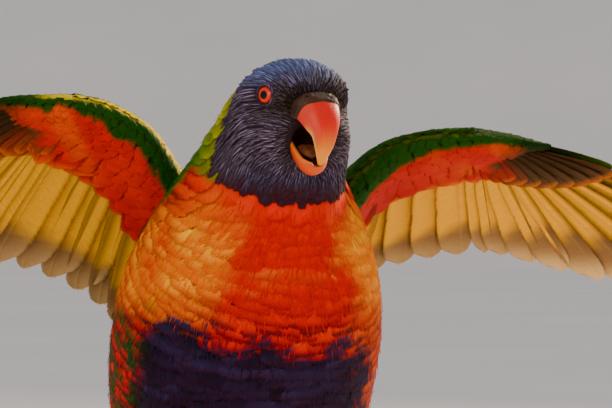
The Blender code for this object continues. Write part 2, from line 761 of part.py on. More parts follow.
def make_tail():
    """Twelve tail feathers stepped downwards in pairs, with coverts, on a short core."""
    core = loft("tail", [section_ring(b, f, w, 12) for b, f, w in TAIL_CORE])
    ahead = np.array((0.0, math.cos(TAIL_PITCH), math.sin(TAIL_PITCH)))
    upper = np.array((0.0, -math.sin(TAIL_PITCH), math.cos(TAIL_PITCH)))
    root = np.array(plane_point(TAIL_ROOT))
    pieces = []
    for pair, (length, angle) in enumerate(zip(TAIL_PAIR_LENGTHS, TAIL_PAIR_ANGLES)):
        for side in (-1, 1):
            turn = math.radians(angle) * side
            way = ahead * math.cos(turn) + np.array((math.sin(turn), 0.0, 0.0))
            under = TAIL_STEP * (pair + (0.5 if side > 0 and pair == 0 else 0.0))
            start = root + np.array((side * (1.0 + 0.7 * pair), 0.0, 0.0)) - upper * under
            pieces.append(vane(start, way, upper, length, (4.0, 6.2), droop=0.0))
    for tier, reach in enumerate(TAIL_COVERTS):
        for face in (1, -1):
            for k in (-1.5, -0.5, 0.5, 1.5):
                turn = math.radians(7.0 * k)
                way = ahead * math.cos(turn) + np.array((math.sin(turn), 0.0, 0.0))
                height = 2.4 + 0.9 * tier if face > 0 else 6.4 + 0.8 * tier
                start = root + ahead * 6.0 + np.array((4.2 * k, 0.0, 0.0)) + upper * face * height
                way = unit(way - upper * face * 0.05)
                pieces.append(vane(start, way, upper, reach, (3.4, 3.2), shares=COVERT_OUTLINE))
    boolean(core, "UNION", pieces)
    floor = box_cutter((-100, -200, -50), (100, 400, 0))
    boolean(core, "DIFFERENCE", [body_cutter(), floor])
    keep_largest(core)
    return core


def make_leg(word, side):
    """The feathered thigh, and the bare shank with its four toes and claws."""
    rings = []
    for (x, y, z), across, deep in THIGH:
        angle = np.arange(14) * 2 * math.pi / 14
        ring = np.column_stack(
            [side * x + across * np.sin(angle), y + deep * np.cos(angle), np.full(14, z)]
        )
        rings.append(ring)
    thigh = loft(f"thigh_{word}", rings)
    boolean(thigh, "DIFFERENCE", [body_cutter()])
    keep_largest(thigh)

    middle = np.array(FOOT_MIDDLE) * (side, 1, 1)
    ankle = np.array(ANKLE) * (side, 1, 1)
    knee_gap = np.array((0.0, 0.0, -GAP - 0.6))
    shank = tube(
        f"foot_{word}",
        [ankle + knee_gap, ankle * 0.55 + middle * 0.45, middle + (0, 0, 2.5), middle],
        [SHANK_RADIUS * 1.15, SHANK_RADIUS, SHANK_RADIUS * 1.2, SHANK_RADIUS * 1.15],
        resolution=2,
    )
    COLLECTIONS["joined_pieces"].objects.unlink(shank)
    COLLECTIONS["rainbow_lorikeet"].objects.link(shank)
    pieces = [ball(middle * (1, 1, 0) + (0, 0, TOE_HEIGHT), SOLE_SIZE, sides=12)]
    for heading, length, radius in TOES:
        turn = math.radians(heading)
        way = np.array((side * math.sin(turn), -math.cos(turn), 0.0))
        low = np.array((middle[0], middle[1], TOE_HEIGHT))
        points = [middle + way * 0.5, low + way * 5.0]
        radii = [radius * 1.1, radius]
        for share, swell in ((0.5, 0.95), (0.68, 0.75), (0.84, 0.9), (1.0, 0.72)):
            points.append(low + way * length * share)
            radii.append(radius * swell)
        pieces.append(tube("toe", points, radii))
        tip = low + way * (length - 1.0)
        arc, thinning = [], []
        for q in (0.0, 0.3, 0.6, 0.85, 1.0):
            rise = CLAW_ARCH * math.sin(math.pi * q) - CLAW_DROP * q
            arc.append(tip + way * CLAW_LENGTH * q + np.array((0, 0, rise)))
            thinning.append(CLAW_RADIUS * (1 - 0.8 * q))
        pieces.append(tube("claw", arc, thinning))
    boolean(shank, "UNION", pieces)
    boolean(shank, "DIFFERENCE", [box_cutter((-100, -200, -50), (100, 400, 0))])
    keep_largest(shank)
    return {f"thigh_{word}": thigh, f"foot_{word}": shank}


def give_material(made, name):
    """A plain material in the colour of that part of the bird."""
    red, green, blue, roughness = COLOURS[name]
    material = bpy.data.materials.get(name) or bpy.data.materials.new(name)
    material.use_nodes = True
    shader = material.node_tree.nodes["Principled BSDF"]
    shader.inputs["Base Color"].default_value = (red, green, blue, 1.0)
    shader.inputs["Roughness"].default_value = roughness
    shader.inputs["Metallic"].default_value = 0.0
    made.data.materials.clear()
    made.data.materials.append(material)


def main():
    nodes = make_head_neck_torso()
    nodes.update(make_eyes())
    nodes.update(make_bill())
    for word, side in (("right", -1), ("left", 1)):
        nodes[f"wing_{word}"] = make_wing(word, side)
        nodes.update(make_leg(word, side))
    nodes["tail"] = make_tail()
    for name, made in nodes.items():
        kind = name.replace("_right", "").replace("_left", "").replace("upper_", "")
        give_material(made, kind.replace("lower_", ""))


main()
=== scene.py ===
# %% [markdown]
# # A rainbow lorikeet with raised wings
#
# This lesson dresses a plain solid lorikeet, life size, in skin, feathers, horn and scales.
# The bird faces -Y and stands on the floor at Z = 0. Its own left side is at +X.
# Every surface is a formula on a grid of numbers, so a size can be changed in one place.

import math

import bpy
import numpy as np
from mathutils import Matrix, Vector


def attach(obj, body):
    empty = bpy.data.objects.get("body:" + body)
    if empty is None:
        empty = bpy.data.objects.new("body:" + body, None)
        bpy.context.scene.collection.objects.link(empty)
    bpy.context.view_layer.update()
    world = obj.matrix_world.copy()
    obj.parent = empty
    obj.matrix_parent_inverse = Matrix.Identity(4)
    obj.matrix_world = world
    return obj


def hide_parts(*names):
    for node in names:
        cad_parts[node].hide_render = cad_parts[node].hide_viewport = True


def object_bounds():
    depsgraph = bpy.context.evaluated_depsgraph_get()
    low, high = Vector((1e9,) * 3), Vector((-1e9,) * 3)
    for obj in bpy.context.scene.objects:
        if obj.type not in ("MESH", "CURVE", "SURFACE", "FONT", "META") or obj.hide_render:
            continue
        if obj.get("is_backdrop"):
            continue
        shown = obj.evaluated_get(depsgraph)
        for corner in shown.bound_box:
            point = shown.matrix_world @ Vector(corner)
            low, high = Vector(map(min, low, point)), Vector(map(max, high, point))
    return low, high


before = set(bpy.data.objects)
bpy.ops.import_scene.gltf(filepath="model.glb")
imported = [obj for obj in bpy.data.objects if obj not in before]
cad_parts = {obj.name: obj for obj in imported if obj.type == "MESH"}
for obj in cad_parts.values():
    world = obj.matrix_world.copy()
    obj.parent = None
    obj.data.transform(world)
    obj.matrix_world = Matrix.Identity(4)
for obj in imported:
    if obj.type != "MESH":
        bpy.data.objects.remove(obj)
cad_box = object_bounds()
print("solid box, m:", np.round(cad_box, 4).tolist())

# %% [markdown]
# ## Curves through a few sizes
#
# The solids come from short lists of named sizes. The looks repeat those sizes, so that skin
# and feathers sit exactly where the solids are. A Catmull-Rom curve passes through every size
# in a list and bends smoothly between them. It is worked out for a whole array at once.

# %% Curves and directions as arrays
MM = 0.001
STANCE = np.array((-2.453, -57.038, 0.0))
CIRCLE = 2 * np.pi
rng = np.random.default_rng(11)


def curve_through(keys, t):
    """Each key counts as one step of t from 0 to 1. Between two keys the value is the
    cubic whose slope at each key is half the step from the key before to the key after."""
    keys = np.asarray(keys, float)
    if keys.ndim == 1:
        return curve_through(keys[:, None], t)[..., 0]
    padded = np.concatenate([2 * keys[:1] - keys[1:2], keys, 2 * keys[-1:] - keys[-2:-1]])
    step = np.clip(t, 0, 1) * (len(keys) - 1)
    i = np.minimum(step.astype(int), len(keys) - 2)
    u = (step - i)[..., None]
    before, a, b, after = (padded[i + k] for k in range(4))
    bend = (3 * a - before - 3 * b + after) * u**3
    return 0.5 * (2 * a + (b - before) * u + (2 * before - 5 * a + 4 * b - after) * u**2 + bend)


def stack(*parts):
    """Numbers or arrays set side by side as the columns of one array."""
    return np.stack(np.broadcast_arrays(*parts), axis=-1)


def dot(a, b):
    """The sum of the products of two rows of vectors."""
    return (a * b).sum(-1)


def unit(v):
    """Each vector divided by its own length."""
    return v / np.maximum(np.linalg.norm(v, axis=-1, keepdims=True), 1e-9)


def steps_along(points):
    """How far along a row of points each one is: the running sum of the gaps' lengths."""
    return np.concatenate([[0], np.cumsum(np.linalg.norm(np.diff(points, axis=0), axis=1))])


def smooth(low, high, value):
    """0 below low, 1 above high, and 3t^2 - 2t^3 of the share t between them."""
    t = np.clip((value - low) / (high - low), 0, 1)
    return t * t * (3 - 2 * t)


def bell(x):
    """e to the power -x^2: 1 at 0, and almost 0 from 2 on."""
    return np.exp(-(x**2))


def noisy(low, high, spread, count, middle=0.0):
    """One random number for each feather, drawn from a bell curve and kept within limits."""
    return np.clip(rng.normal(middle, spread, count), low, high)


def ripple(points, size, seed=0):
    """Soft patches from -1 to 1: the mean of six sine waves that cross each other at
    fixed random angles, each about as long as the given size."""
    waves = np.random.default_rng(seed).normal(size=(6, points.shape[-1])) * 2.2 / size
    shift = np.random.default_rng(seed + 1).uniform(0, 6.28, 6)
    return np.sin(points @ waves.T + shift).mean(axis=-1) * 1.8


def rings(rows, sides, last=1.0):
    """A grid of rings: a share from 0 to last for each row, an angle for each point in it."""
    ends = np.linspace(0, last, rows), np.arange(sides) * CIRCLE / sides
    return np.meshgrid(*ends, indexing="ij")


def turn_from(angle, middle=0.0):
    """How far an angle is from the middle one, 0 to half a circle either way."""
    return np.abs((angle - middle + np.pi) % CIRCLE - np.pi)


# %% [markdown]
# ## Colours
#
# Colours are picked as the 0 to 255 values of a paint program. The renderer adds up
# light, so each one is first turned into linear light with the screen's own curve.


# %% The plumage palette
def paint(red, green, blue):
    """A screen colour as linear light: c/12.92 when dark, else ((c+0.055)/1.055)^2.4."""
    c = np.array((red, green, blue)) / 255
    return np.where(c < 0.04045, c / 12.92, ((c + 0.055) / 1.055) ** 2.4)


PALETTE = {
    "hood_dark": (38, 29, 37), "hood_edge": (64, 51, 62), "hood_shaft": (132, 116, 142),
    "hood_tip": (62, 14, 16), "brow_shaft": (118, 138, 200), "brow": (81, 96, 144),
    "throat": (24, 17, 34), "throat_shaft": (58, 66, 128), "lore": (30, 20, 16),
    "lore_shaft": (76, 58, 44), "collar": (168, 164, 0), "green": (26, 88, 4),
    "green_light": (86, 134, 4), "green_dark": (8, 40, 8), "red": (198, 4, 0),
    "red_orange": (212, 24, 0), "orange": (240, 122, 0), "yellow": (244, 178, 0),
    "belly": (22, 13, 26), "belly_light": (48, 38, 80), "bar": (44, 14, 30),
    "brown": (78, 54, 28), "brown_light": (170, 126, 72), "undertail": (142, 150, 6),
}
PALETTE = {name: paint(*values) for name, values in PALETTE.items()}


def blend(a, b, share):
    """Colour a where share is 0, colour b where it is 1, row by row. A colour may be given
    by its name in the palette."""
    a, b = (PALETTE[k] if isinstance(k, str) else k for k in (a, b))
    share = np.asarray(share)[..., None]
    return a * (1 - share) + b * share


def layers(colour, *over):
    """A colour with others laid over it in turn, each by its own share."""
    for other, share in over:
        colour = blend(colour, other, share)
    return colour


def mottled(dark, light, p, size, seed, strength=0.5):
    """A dark and a light colour mixed by soft patches of the given size."""
    return blend(dark, light, 0.5 + strength * ripple(p, size, seed))


# %% [markdown]
# ## The body as one surface
#
# The body is a row of slanted ovals, from the face to the root of the tail. Each oval has a
# back point, a front point and a half width. One formula takes a place along the row and an
# angle around it, and gives a point. Skin and feathers both ask this formula where they are,
# so the coat follows every curve. The feathers' depth is taken off with `sink`.

# %% The body's sizes, the same as in the solids
BODY_SECTIONS = np.array((
    (-46.6, 148.8, -42, 129.5, 7), (-46.8, 152.6, -40.5, 126.5, 10.9),
    (-43, 156.4, -39.5, 123.5, 14.1), (-36, 158, -38.3, 120, 16), (-28, 156.8, -37.6, 116, 17.2),
    (-20.5, 152.8, -37.2, 111.5, 18.3), (-14, 146.5, -37.2, 106.5, 20.2),
    (-8, 139.5, -37.4, 101, 24), (-1, 131.5, -36.8, 94, 29.6), (9, 122, -35.2, 85.5, 34.2),
    (19, 111.5, -31.8, 76, 37), (28, 99, -25.8, 65, 37.8), (35.5, 86, -17, 53.5, 36.4),
    (42, 73, -5, 42.5, 32.5), (48.5, 60.5, 10, 33.5, 27.5), (55, 50, 27, 28, 21),
    (61, 42, 43, 26, 14.5), (66, 37, 57, 26.5, 9.5),
))
LAST_SECTION = len(BODY_SECTIONS) - 1
BODY_KEYS = np.concatenate([BODY_SECTIONS, BODY_SECTIONS[-1:] + (4.5, -4.0, 8.0, 0.3, -2.0)])
BODY_FULLNESS = 2.2
BREAST_LEAN, LEAN_FIRST, LEAN_LAST = -1.8, 5.0, 14.0
LORE_PINCH, LORE_HEIGHT, LORE_SPREAD = 0.27, 142.8, 3.7
LORE_REAR, LORE_FRONT = -34.0, -43.5
FLANK_MIDDLE, FLANK_SIZE = np.array((25.5, 11.0, 66.0)), np.array((10.5, 17.0, 21.0))
FLANK_SOFTNESS = 6.0
HEAD_TURN = math.radians(9.0)
TURN_Y, TURN_FULL, TURN_NONE, FACE_Y = -26.0, 5.0, 9.0, -34.0


def turn_head(points, share=1.0):
    """Turns points about the upright line through the neck, by a share of the turn."""
    angle = HEAD_TURN * np.asarray(share)
    x, y, c, s = points[..., 0], points[..., 1] - TURN_Y, np.cos(angle), np.sin(angle)
    return stack(x * c - y * s, TURN_Y + (x * s + y * c), points[..., 2])


def head_place(forward, left, height):
    """Points given in the head's own terms, as the bird holds it."""
    return turn_head(stack(left, FACE_Y - np.asarray(forward, float), height))


def head_way(forward, left, height):
    """A direction given in the head's own terms."""
    return head_place(forward, left, height) - head_place(0.0, 0.0, 0.0)


def signed_power(x, power):
    """The size of x raised to a power, with the sign of x."""
    return np.sign(x) * np.abs(x) ** power


def oval(key, around, fullness, sink=0.0):
    """A superellipse: cosine and sine of the angle, each raised to 2/fullness, reach from
    the middle towards the back point and sideways."""
    middle, axis = (key[..., :2] + key[..., 2:4]) / 2, (key[..., :2] - key[..., 2:4]) / 2
    sink = np.asarray(sink, float)
    axis = axis * (1 - sink[..., None] / np.linalg.norm(axis, axis=-1, keepdims=True))
    yz = middle + signed_power(np.cos(around), 2 / fullness)[..., None] * axis
    x = signed_power(np.sin(around), 2 / fullness) * (key[..., 4] - sink)
    return np.concatenate([x[..., None], yz], axis=-1)


def body_surface(around, place, sink=0.0):
    """A point of the body: the oval at that place, pinched at the lores by a bell curve of
    height, moved to the right at the breast by a squared sine, swollen at the flanks by the
    smooth larger of two widths, and turned at the head."""
    around, place = np.broadcast_arrays(np.asarray(around, float), np.asarray(place, float))
    p = oval(curve_through(BODY_KEYS, place / (LAST_SECTION + 1)), around, BODY_FULLNESS, sink)
    ahead = smooth(0, 1, (LORE_REAR - p[..., 1]) / (LORE_REAR - LORE_FRONT))
    p[..., 0] *= 1 - LORE_PINCH * ahead * bell((p[..., 2] - LORE_HEIGHT) / LORE_SPREAD)
    lean = np.clip((place - LEAN_FIRST) / (LEAN_LAST - LEAN_FIRST), 0, 1)
    p[..., 0] += BREAST_LEAN * np.sin(np.pi * lean) ** 2
    radii = FLANK_SIZE[1:] - np.asarray(sink, float)[..., None]
    puff = 1 - (((p[..., 1:] - FLANK_MIDDLE[1:]) / radii) ** 2).sum(-1)
    wide = FLANK_MIDDLE[0] + (FLANK_SIZE[0] - sink) * np.sqrt(np.clip(puff, 0, 1))
    width = np.abs(p[..., 0])
    larger = 0.5 * (wide + width + np.sqrt((wide - width) ** 2 + FLANK_SOFTNESS))
    share = smooth(0, 0.12, puff) * smooth(12, 22, width)
    p[..., 0] += np.sign(p[..., 0]) * np.maximum(larger - width, 0) * share
    return turn_head(p, smooth(0, 1, (TURN_NONE - place) / (TURN_NONE - TURN_FULL)))


middle = body_surface(math.pi, np.arange(18.0))
print("front line of the body, heights in mm:", middle[:, 2].round(0).tolist())

# %% [markdown]
# ## From arrays to meshes
#
# `from_pydata` is slow for a hundred thousand points, so the arrays go in with
# `foreach_set`. A piece may carry a colour for each point, called `tint`, and a map called
# `vane` that says how far across and along its own feather each point is. The map `OFBake`
# gives each feather a small patch of its own on a flattened layout of the skin.


# %% Make one piece of the bird
def make_piece(name, points, faces, material, nodes=(), tint=None, vane=None, bake=None):
    """One mesh from points in millimetres and arrays of faces, smooth, with its maps. The
    tint has red, green and blue, and may have an alpha."""
    mesh = bpy.data.meshes.new(name)
    points = (np.reshape(points, (-1, 3)) + STANCE) * MM
    corners = np.concatenate([f.ravel() for f in faces]).astype(np.int32)
    counts = np.concatenate([np.full(len(f), f.shape[1]) for f in faces])
    mesh.vertices.add(len(points))
    mesh.vertices.foreach_set("co", points.ravel())
    mesh.loops.add(len(corners))
    mesh.loops.foreach_set("vertex_index", corners)
    mesh.polygons.add(len(counts))
    mesh.polygons.foreach_set("loop_start", (np.cumsum(counts) - counts).astype(np.int32))
    mesh.polygons.foreach_set("use_smooth", np.ones(len(counts), bool))
    mesh.update(calc_edges=True)
    for key, values in (("vane", vane), ("OFBake", bake)):
        if values is not None:
            layer = mesh.uv_layers.new(name=key)
            layer.uv.foreach_set("vector", np.reshape(values, (-1, 2))[corners].ravel())
    if tint is not None:
        rgba = np.ones((len(points), 4))
        rgba[:, : tint.shape[-1]] = np.reshape(tint, (-1, tint.shape[-1]))
        mesh.attributes.new("tint", "FLOAT_COLOR", "POINT").data.foreach_set("color", rgba.ravel())
    mesh.materials.append(material)
    piece = bpy.data.objects.new(name, mesh)
    bpy.context.scene.collection.objects.link(piece)
    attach(piece, "root")
    if nodes:
        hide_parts(*nodes)
    print(f"{name}: {len(points)} points, {int((counts - 2).sum())} triangles")
    return piece


def tube_faces(rows, sides, first=0):
    """Quads that join ring after ring of points, and one flat face at each end."""
    r, s = np.meshgrid(np.arange(rows - 1), np.arange(sides), indexing="ij")
    a, b = r * sides + s, r * sides + (s + 1) % sides
    end = np.arange(sides)[None] + first
    return [stack(a, b, b + sides, a + sides).reshape(-1, 4) + first,
            end[:, ::-1], end + (rows - 1) * sides]


def outward(faces):
    """The same faces turned over, for rings that were drawn the other way round."""
    return [f[:, ::-1] for f in faces]


def sheet_faces(rows, cols):
    """A closed sheet: a top grid of points, a bottom grid and a strip all round the rim."""
    grid = np.arange(rows * cols).reshape(rows, cols)
    a = grid[:-1, :-1].ravel()
    top = stack(a, a + 1, a + 1 + cols, a + cols)
    rim = np.concatenate([grid[0], grid[1:, -1], grid[-1, -2::-1], grid[-2:0:-1, 0]])
    after, under = np.roll(rim, -1), rows * cols
    strip = stack(rim, rim + under, after + under, after)
    return [np.concatenate([top, top[:, ::-1] + under, strip])]


def many(faces, copies, size):
    """The same faces for each of many copies whose points follow one another."""
    shift = (np.arange(copies) * size)[:, None, None]
    return [(f[None] + shift).reshape(-1, f.shape[1]) for f in faces]


MAP_SIZE, MAP_EDGE = 0.96, 0.02


def unwrap(across, along):
    """A flat map of shares from 0 to 1, kept a little inside the square's edges."""
    return stack(across, along) * MAP_SIZE + MAP_EDGE


# %% [markdown]
# ## Shader maths in Python
#
# A material is a graph of nodes, but its maths reads best as an expression. `Wire` stands for
# one socket, and `a * b + 1` adds the two Math nodes. `Finish` is one material. Its method
# `node` makes any node from its type, its settings and what its sockets hold.


# %% A small language for materials
class Wire:
    """One output socket that can be used with + - * and numbers."""

    def __init__(self, finish, socket):
        """A wire knows its material and its socket."""
        self.finish, self.socket = finish, socket

    def math(self, operation, *others):
        """One Math node of that operation on this wire and the others."""
        inputs = dict(enumerate((self, *others)))
        return self.finish.node("ShaderNodeMath", {"operation": operation}, inputs)

    def __add__(self, other):
        """The sum."""
        return self.math("ADD", other)

    def __sub__(self, other):
        """The difference."""
        return self.math("SUBTRACT", other)

    def __rsub__(self, other):
        """A number less this wire: this wire times -1, plus the number."""
        return self * -1 + other

    def __mul__(self, other):
        """The product."""
        return self.math("MULTIPLY", other)

    def __abs__(self):
        """The size without the sign."""
        return self.math("ABSOLUTE")


class Finish:
    """One material, made of nodes."""

    def __init__(self, name, **constants):
        """A new material. Each constant sets the shader's socket of that name."""
        self.material = bpy.data.materials.new(name)
        self.material.use_nodes = True
        self.tree = self.material.node_tree
        self.shader = self.tree.nodes["Principled BSDF"]
        for key, value in constants.items():
            socket = key.replace("_", " ").title().replace("Ior", "IOR")
            self.shader.inputs[socket].default_value = value

    def node(self, kind, settings=None, inputs=None, output=0):
        """Any node: its type, then its settings, then the values or links of its sockets."""
        made = self.tree.nodes.new(kind)
        for key, value in (settings or {}).items():
            if key == "stops":
                self.fill_ramp(made.color_ramp, value)
            else:
                setattr(made, key, value)
        for key, value in (inputs or {}).items():
            self.plug(made.inputs[key], value)
        return Wire(self, made.outputs[output])

    def plug(self, socket, value):
        """Links a wire to a socket, or sets the socket to a plain value."""
        if isinstance(value, Wire):
            self.tree.links.new(value.socket, socket)
        else:
            socket.default_value = value

    def fill_ramp(self, ramp, stops):
        """Sets a colour ramp's stops, each a place and a grey or a colour."""
        while len(ramp.elements) < len(stops):
            ramp.elements.new(1.0)
        for element, (place, colour) in zip(ramp.elements, stops):
            element.position = place
            element.color = (*np.broadcast_to(colour, 3), 1.0)

    def tint(self, output=0):
        """The colour that each point of the mesh carries, or with output 3 its alpha."""
        return self.node("ShaderNodeAttribute", {"attribute_name": "tint"}, None, output)

    def across_and_along(self):
        """How far across and along its feather a point is, from the map called vane."""
        uv = self.node("ShaderNodeUVMap", {"uv_map": "vane"})
        return [self.node("ShaderNodeSeparateXYZ", None, {0: uv}, k) for k in (0, 1)]

    def vector(self, x, y):
        """Two numbers or wires joined into one vector."""
        return self.node("ShaderNodeCombineXYZ", None, {0: x, 1: y})

    def noise(self, vector, scale, detail=3.0, roughness=0.5):
        """Cloudy grey noise from 0 to 1."""
        inputs = {"Vector": vector, "Scale": scale, "Detail": detail, "Roughness": roughness}
        return self.node("ShaderNodeTexNoise", None, inputs)

    def place(self):
        """The point's own place on the object."""
        return self.node("ShaderNodeTexCoord", output=3)

    def ramp(self, value, *stops):
        """A value looked up in a colour ramp."""
        return self.node("ShaderNodeValToRGB", {"stops": stops}, {0: value})

    def paint_with(self, amount):
        """The mesh's own colours, made lighter or darker by a wire's value."""
        scaled = {0: self.tint(), 3: amount}
        self.surface(Base_Color=self.node("ShaderNodeVectorMath", {"operation": "SCALE"}, scaled))

    def bump(self, height, strength, distance):
        """A bump that gives the height's slopes to the shader's normal."""
        inputs = {"Height": height, "Strength": strength, "Distance": distance}
        self.surface(Normal=self.node("ShaderNodeBump", None, inputs))

    def surface(self, **sockets):
        """Links what changes over the surface to the shader."""
        for key, value in sockets.items():
            self.plug(self.shader.inputs[key.replace("_", " ")], value)


def colour4(colour):
    """A palette colour with its alpha."""
    return (*[float(c) for c in colour], 1.0)


# %% [markdown]
# ## Feather finish
#
# A feather is a shaft with hundreds of barbs that leave it at a slant. From arm's length the
# barbs show as fine streaks of lighter and darker colour and a silky sheen. The colour of
# each point is in the mesh, and the streaks come from noise stretched along the barbs.


# %% Feather materials
def feather_finish(name, barb_scale, contrast, fringe=0.0, glow=None, sheen=(1.0, 0.5, 0.2)):
    """Tint times streaks. The barbs run along a line where distance along the feather less
    the distance from its shaft stays the same. The tint's alpha falls to 0 at the rim, and
    where the streaks are low there too, the rim is cut away between the barbs."""
    finish = Finish(name, roughness=0.6, specular_ior_level=0.06, specular_tint=colour4(sheen))
    across, along = finish.across_and_along()
    slant = along - abs(across) * 0.9
    streaks = finish.noise(finish.vector(across * 0.3, slant * barb_scale), 1.0, 2.0)
    fine = finish.noise(finish.vector(across * 0.7, slant * barb_scale * 3.1), 1.0, 1.0)
    finish.paint_with((streaks - 0.5) * contrast + (fine - 0.5) * (contrast * 0.7) + 1.0)
    finish.surface(Roughness=0.68 - (streaks - 0.5) * 0.3)
    finish.bump(fine * 0.6 + streaks, 0.4, 0.0002)
    if fringe:
        kept = finish.tint(3) + (streaks - 0.5) * fringe + (fine - 0.5) * fringe
        finish.surface(Alpha=kept.math("GREATER_THAN", 0.3))
    if glow is not None:
        through = finish.node("ShaderNodeBsdfTranslucent", None, {"Color": colour4(glow)})
        face = Wire(finish, finish.shader.outputs[0])
        both = finish.node("ShaderNodeMixShader", None, {0: GLOW_SHARE, 1: face, 2: through})
        finish.plug(finish.tree.nodes["Material Output"].inputs[0], both)
    return finish.material


GLOW_SHARE = 0.06
DOWN = feather_finish("skin_down", 1.6, 0.4)
FEATHER = feather_finish("body_feather", 3.6, 0.6, fringe=1.1)
HEAD_FEATHER = feather_finish("head_feather", 1.2, 0.5, fringe=0.8, sheen=(1.0, 1.0, 1.0))
FLIGHT = feather_finish("flight_feather", 1.8, 0.45, fringe=0.9, glow=paint(226, 130, 10))

# %% [markdown]
# ## The skin
#
# Under the feathers is one closed skin from face to tail. It takes the coat's own colours, so
# that no gap between two feathers shows something pale. The open mouth is a hollow in it:
# points inside an egg shape behind the bill are pushed back to the far wall of that egg.

# %% Where each colour lies on the body
HOOD_ANGLES = (0, 41, 60, 70, 78, 88, 100, 110, 125, 138, 150, 163, 180)
HOOD_ENDS = (4.2, 4.35, 4.9, 5.6, 6.1, 6.05, 5.65, 5.1, 4.7, 4.25, 3.95, 3.55, 3.5)
BACK_PLACES = (0, 5.6, 6.2, 6.6, 6.9, 7.4, 7.9, 11, 14, 18)
BACK_ANGLES = (96, 94, 92, 76, 68, 70, 66, 62, 60, 60)
COAT_DEPTH_HEAD, COAT_DEPTH_BODY = 1.1, 2.1
MOUTH_CENTRE, MOUTH_SIZE = (9.5, 0.0, 135.6), (6.4, 4.6, 4.6)
BELLY_LINE, BELLY_AWAY = 82.0, 32.0


def turn_from_back(around):
    """Degrees from the middle of the back, 0 to 180, the same on both sides."""
    return np.degrees(turn_from(around))


def hood_end(around):
    """How far down the body the violet hood reaches at that angle."""
    return np.interp(turn_from_back(around), HOOD_ANGLES, HOOD_ENDS)


def coat_depth(place):
    """How deep the skin lies: thin on the head, thicker on the body."""
    return COAT_DEPTH_HEAD + (COAT_DEPTH_BODY - COAT_DEPTH_HEAD) * smooth(3, 8, place)


def hood_colours(p):
    """Edge and shaft colours of the hood: brown lores, a blue brow and throat, and violet
    cheeks, each a smooth mask of the place on the head."""
    patch = ripple(p, 9.0, 3)
    reach = [np.linalg.norm((p - head_place(*middle)) / size, axis=-1) for middle, size in
             (((10.5, 0, 144.5), (13, 7, 4.6)), ((8.5, 0, 136.5), (8, 7, 6.5)))]
    lore = np.maximum(smooth(0, 1, 1.4 - reach[0]), 0.85 * smooth(1.25, 0.6, reach[1]))
    chin, brow = smooth(136, 122, p[..., 2]), smooth(148, 154, p[..., 2])
    edge = layers("hood_dark", ("hood_edge", 0.5 + 0.5 * patch), ("throat", 0.7 * chin),
                  (PALETTE["brow_shaft"] * 0.5, 0.7 * brow), ("lore", lore))
    shaft = layers(PALETTE["hood_shaft"] * (0.85 + 0.3 * patch)[..., None],
                   ("brow_shaft", 0.7 * brow), ("throat_shaft", 0.75 * chin), ("lore_shaft", lore))
    return edge, shaft


def coat_colours(around, place, p, luck=0.0):
    """Base and tip colour of the coat at a point, and how dark the rims are there: each zone
    is a smooth mask of the angle from the back, the place or the height. The luck, about -1
    to 1, is one feather's own shift of these limits."""
    angle, z, over = turn_from_back(around), p[..., 2], p[..., 0] > 0
    patch, fine = ripple(p, 26.0, 5), ripple(p, 7.0, 9)
    streak = ripple(p * (0.45, 1.0, 1.7), 9.0, 17)
    side = smooth(158, 120, angle + 9 * patch)
    warm = 0.78 * side + 0.26 * patch + 0.12 * fine + 0.32 * streak + 0.18 * luck
    upper = smooth(119, 106, z - 5 * smooth(125, 100, angle))
    warm = warm * (0.05 + 0.95 * upper) * (0.25 + 0.75 * smooth(87, 104, z))
    base = blend("red_orange", "yellow", np.clip(warm * 1.2, 0, 1))
    tip = blend("red", "orange", np.clip(warm * 1.1, 0, 1))
    bar = 0.08 + 0.75 * smooth(98, 84, z) + 0.3 * luck + 0.4 * smooth(92, 76, angle)
    line = BELLY_LINE - 0.15 * p[..., 0] + 2.6 * luck + 2.2 * fine + 3.0 * ripple(p, 13.0, 15)
    inward = angle - np.where(over, BELLY_AWAY, 0.0) + 8 * fine + 9 * luck
    belly = smooth(line + 1.2, line - 1.2, z) * smooth(92, 99, inward)
    violet = blend("belly", "belly_light", np.clip(0.55 + 0.3 * fine + 0.35 * luck, 0, 1))
    tip = blend(tip, violet, belly) * (1 - 1.5 * belly * (1 - belly))[..., None]
    flank = smooth(96, 88, z + 2 * luck) * smooth(122, 108, angle) * smooth(40, 60, angle)
    flank = flank * np.where(over, smooth(100, 80, angle), 1.0)
    barred = smooth(-0.25, 0.15, luck + 0.5 * fine)
    tip = blend(tip, blend("green", "red", barred), flank * 0.9)
    tip = tip * (1 - 2.4 * belly * flank * (1 - flank))[..., None]
    vent = smooth(13.3, 14.6, place) * smooth(100, 120, angle)
    limit = np.interp(place, BACK_PLACES, BACK_ANGLES)
    back = smooth(limit + 2.5, limit - 2.5, angle + 4 * fine + 3 * luck)
    green = blend("green", "green_light", np.clip(0.3 + 0.3 * fine + 0.15 * luck, 0, 1))
    collar = back * smooth(6.9, 5.2, place + 0.3 * fine + 0.15 * luck)
    base = layers(base, ("belly", belly), (blend("green_dark", "red_orange", barred), flank * 0.9),
                  ("undertail", vent), (blend("green_dark", green, 0.35), back),
                  (PALETTE["collar"] * 0.6, collar))
    tip = layers(tip, ("green_light", vent), (green, back), ("collar", collar))
    return base, tip, np.clip(bar, 0, 1) * (1 - back) * (1 - vent)


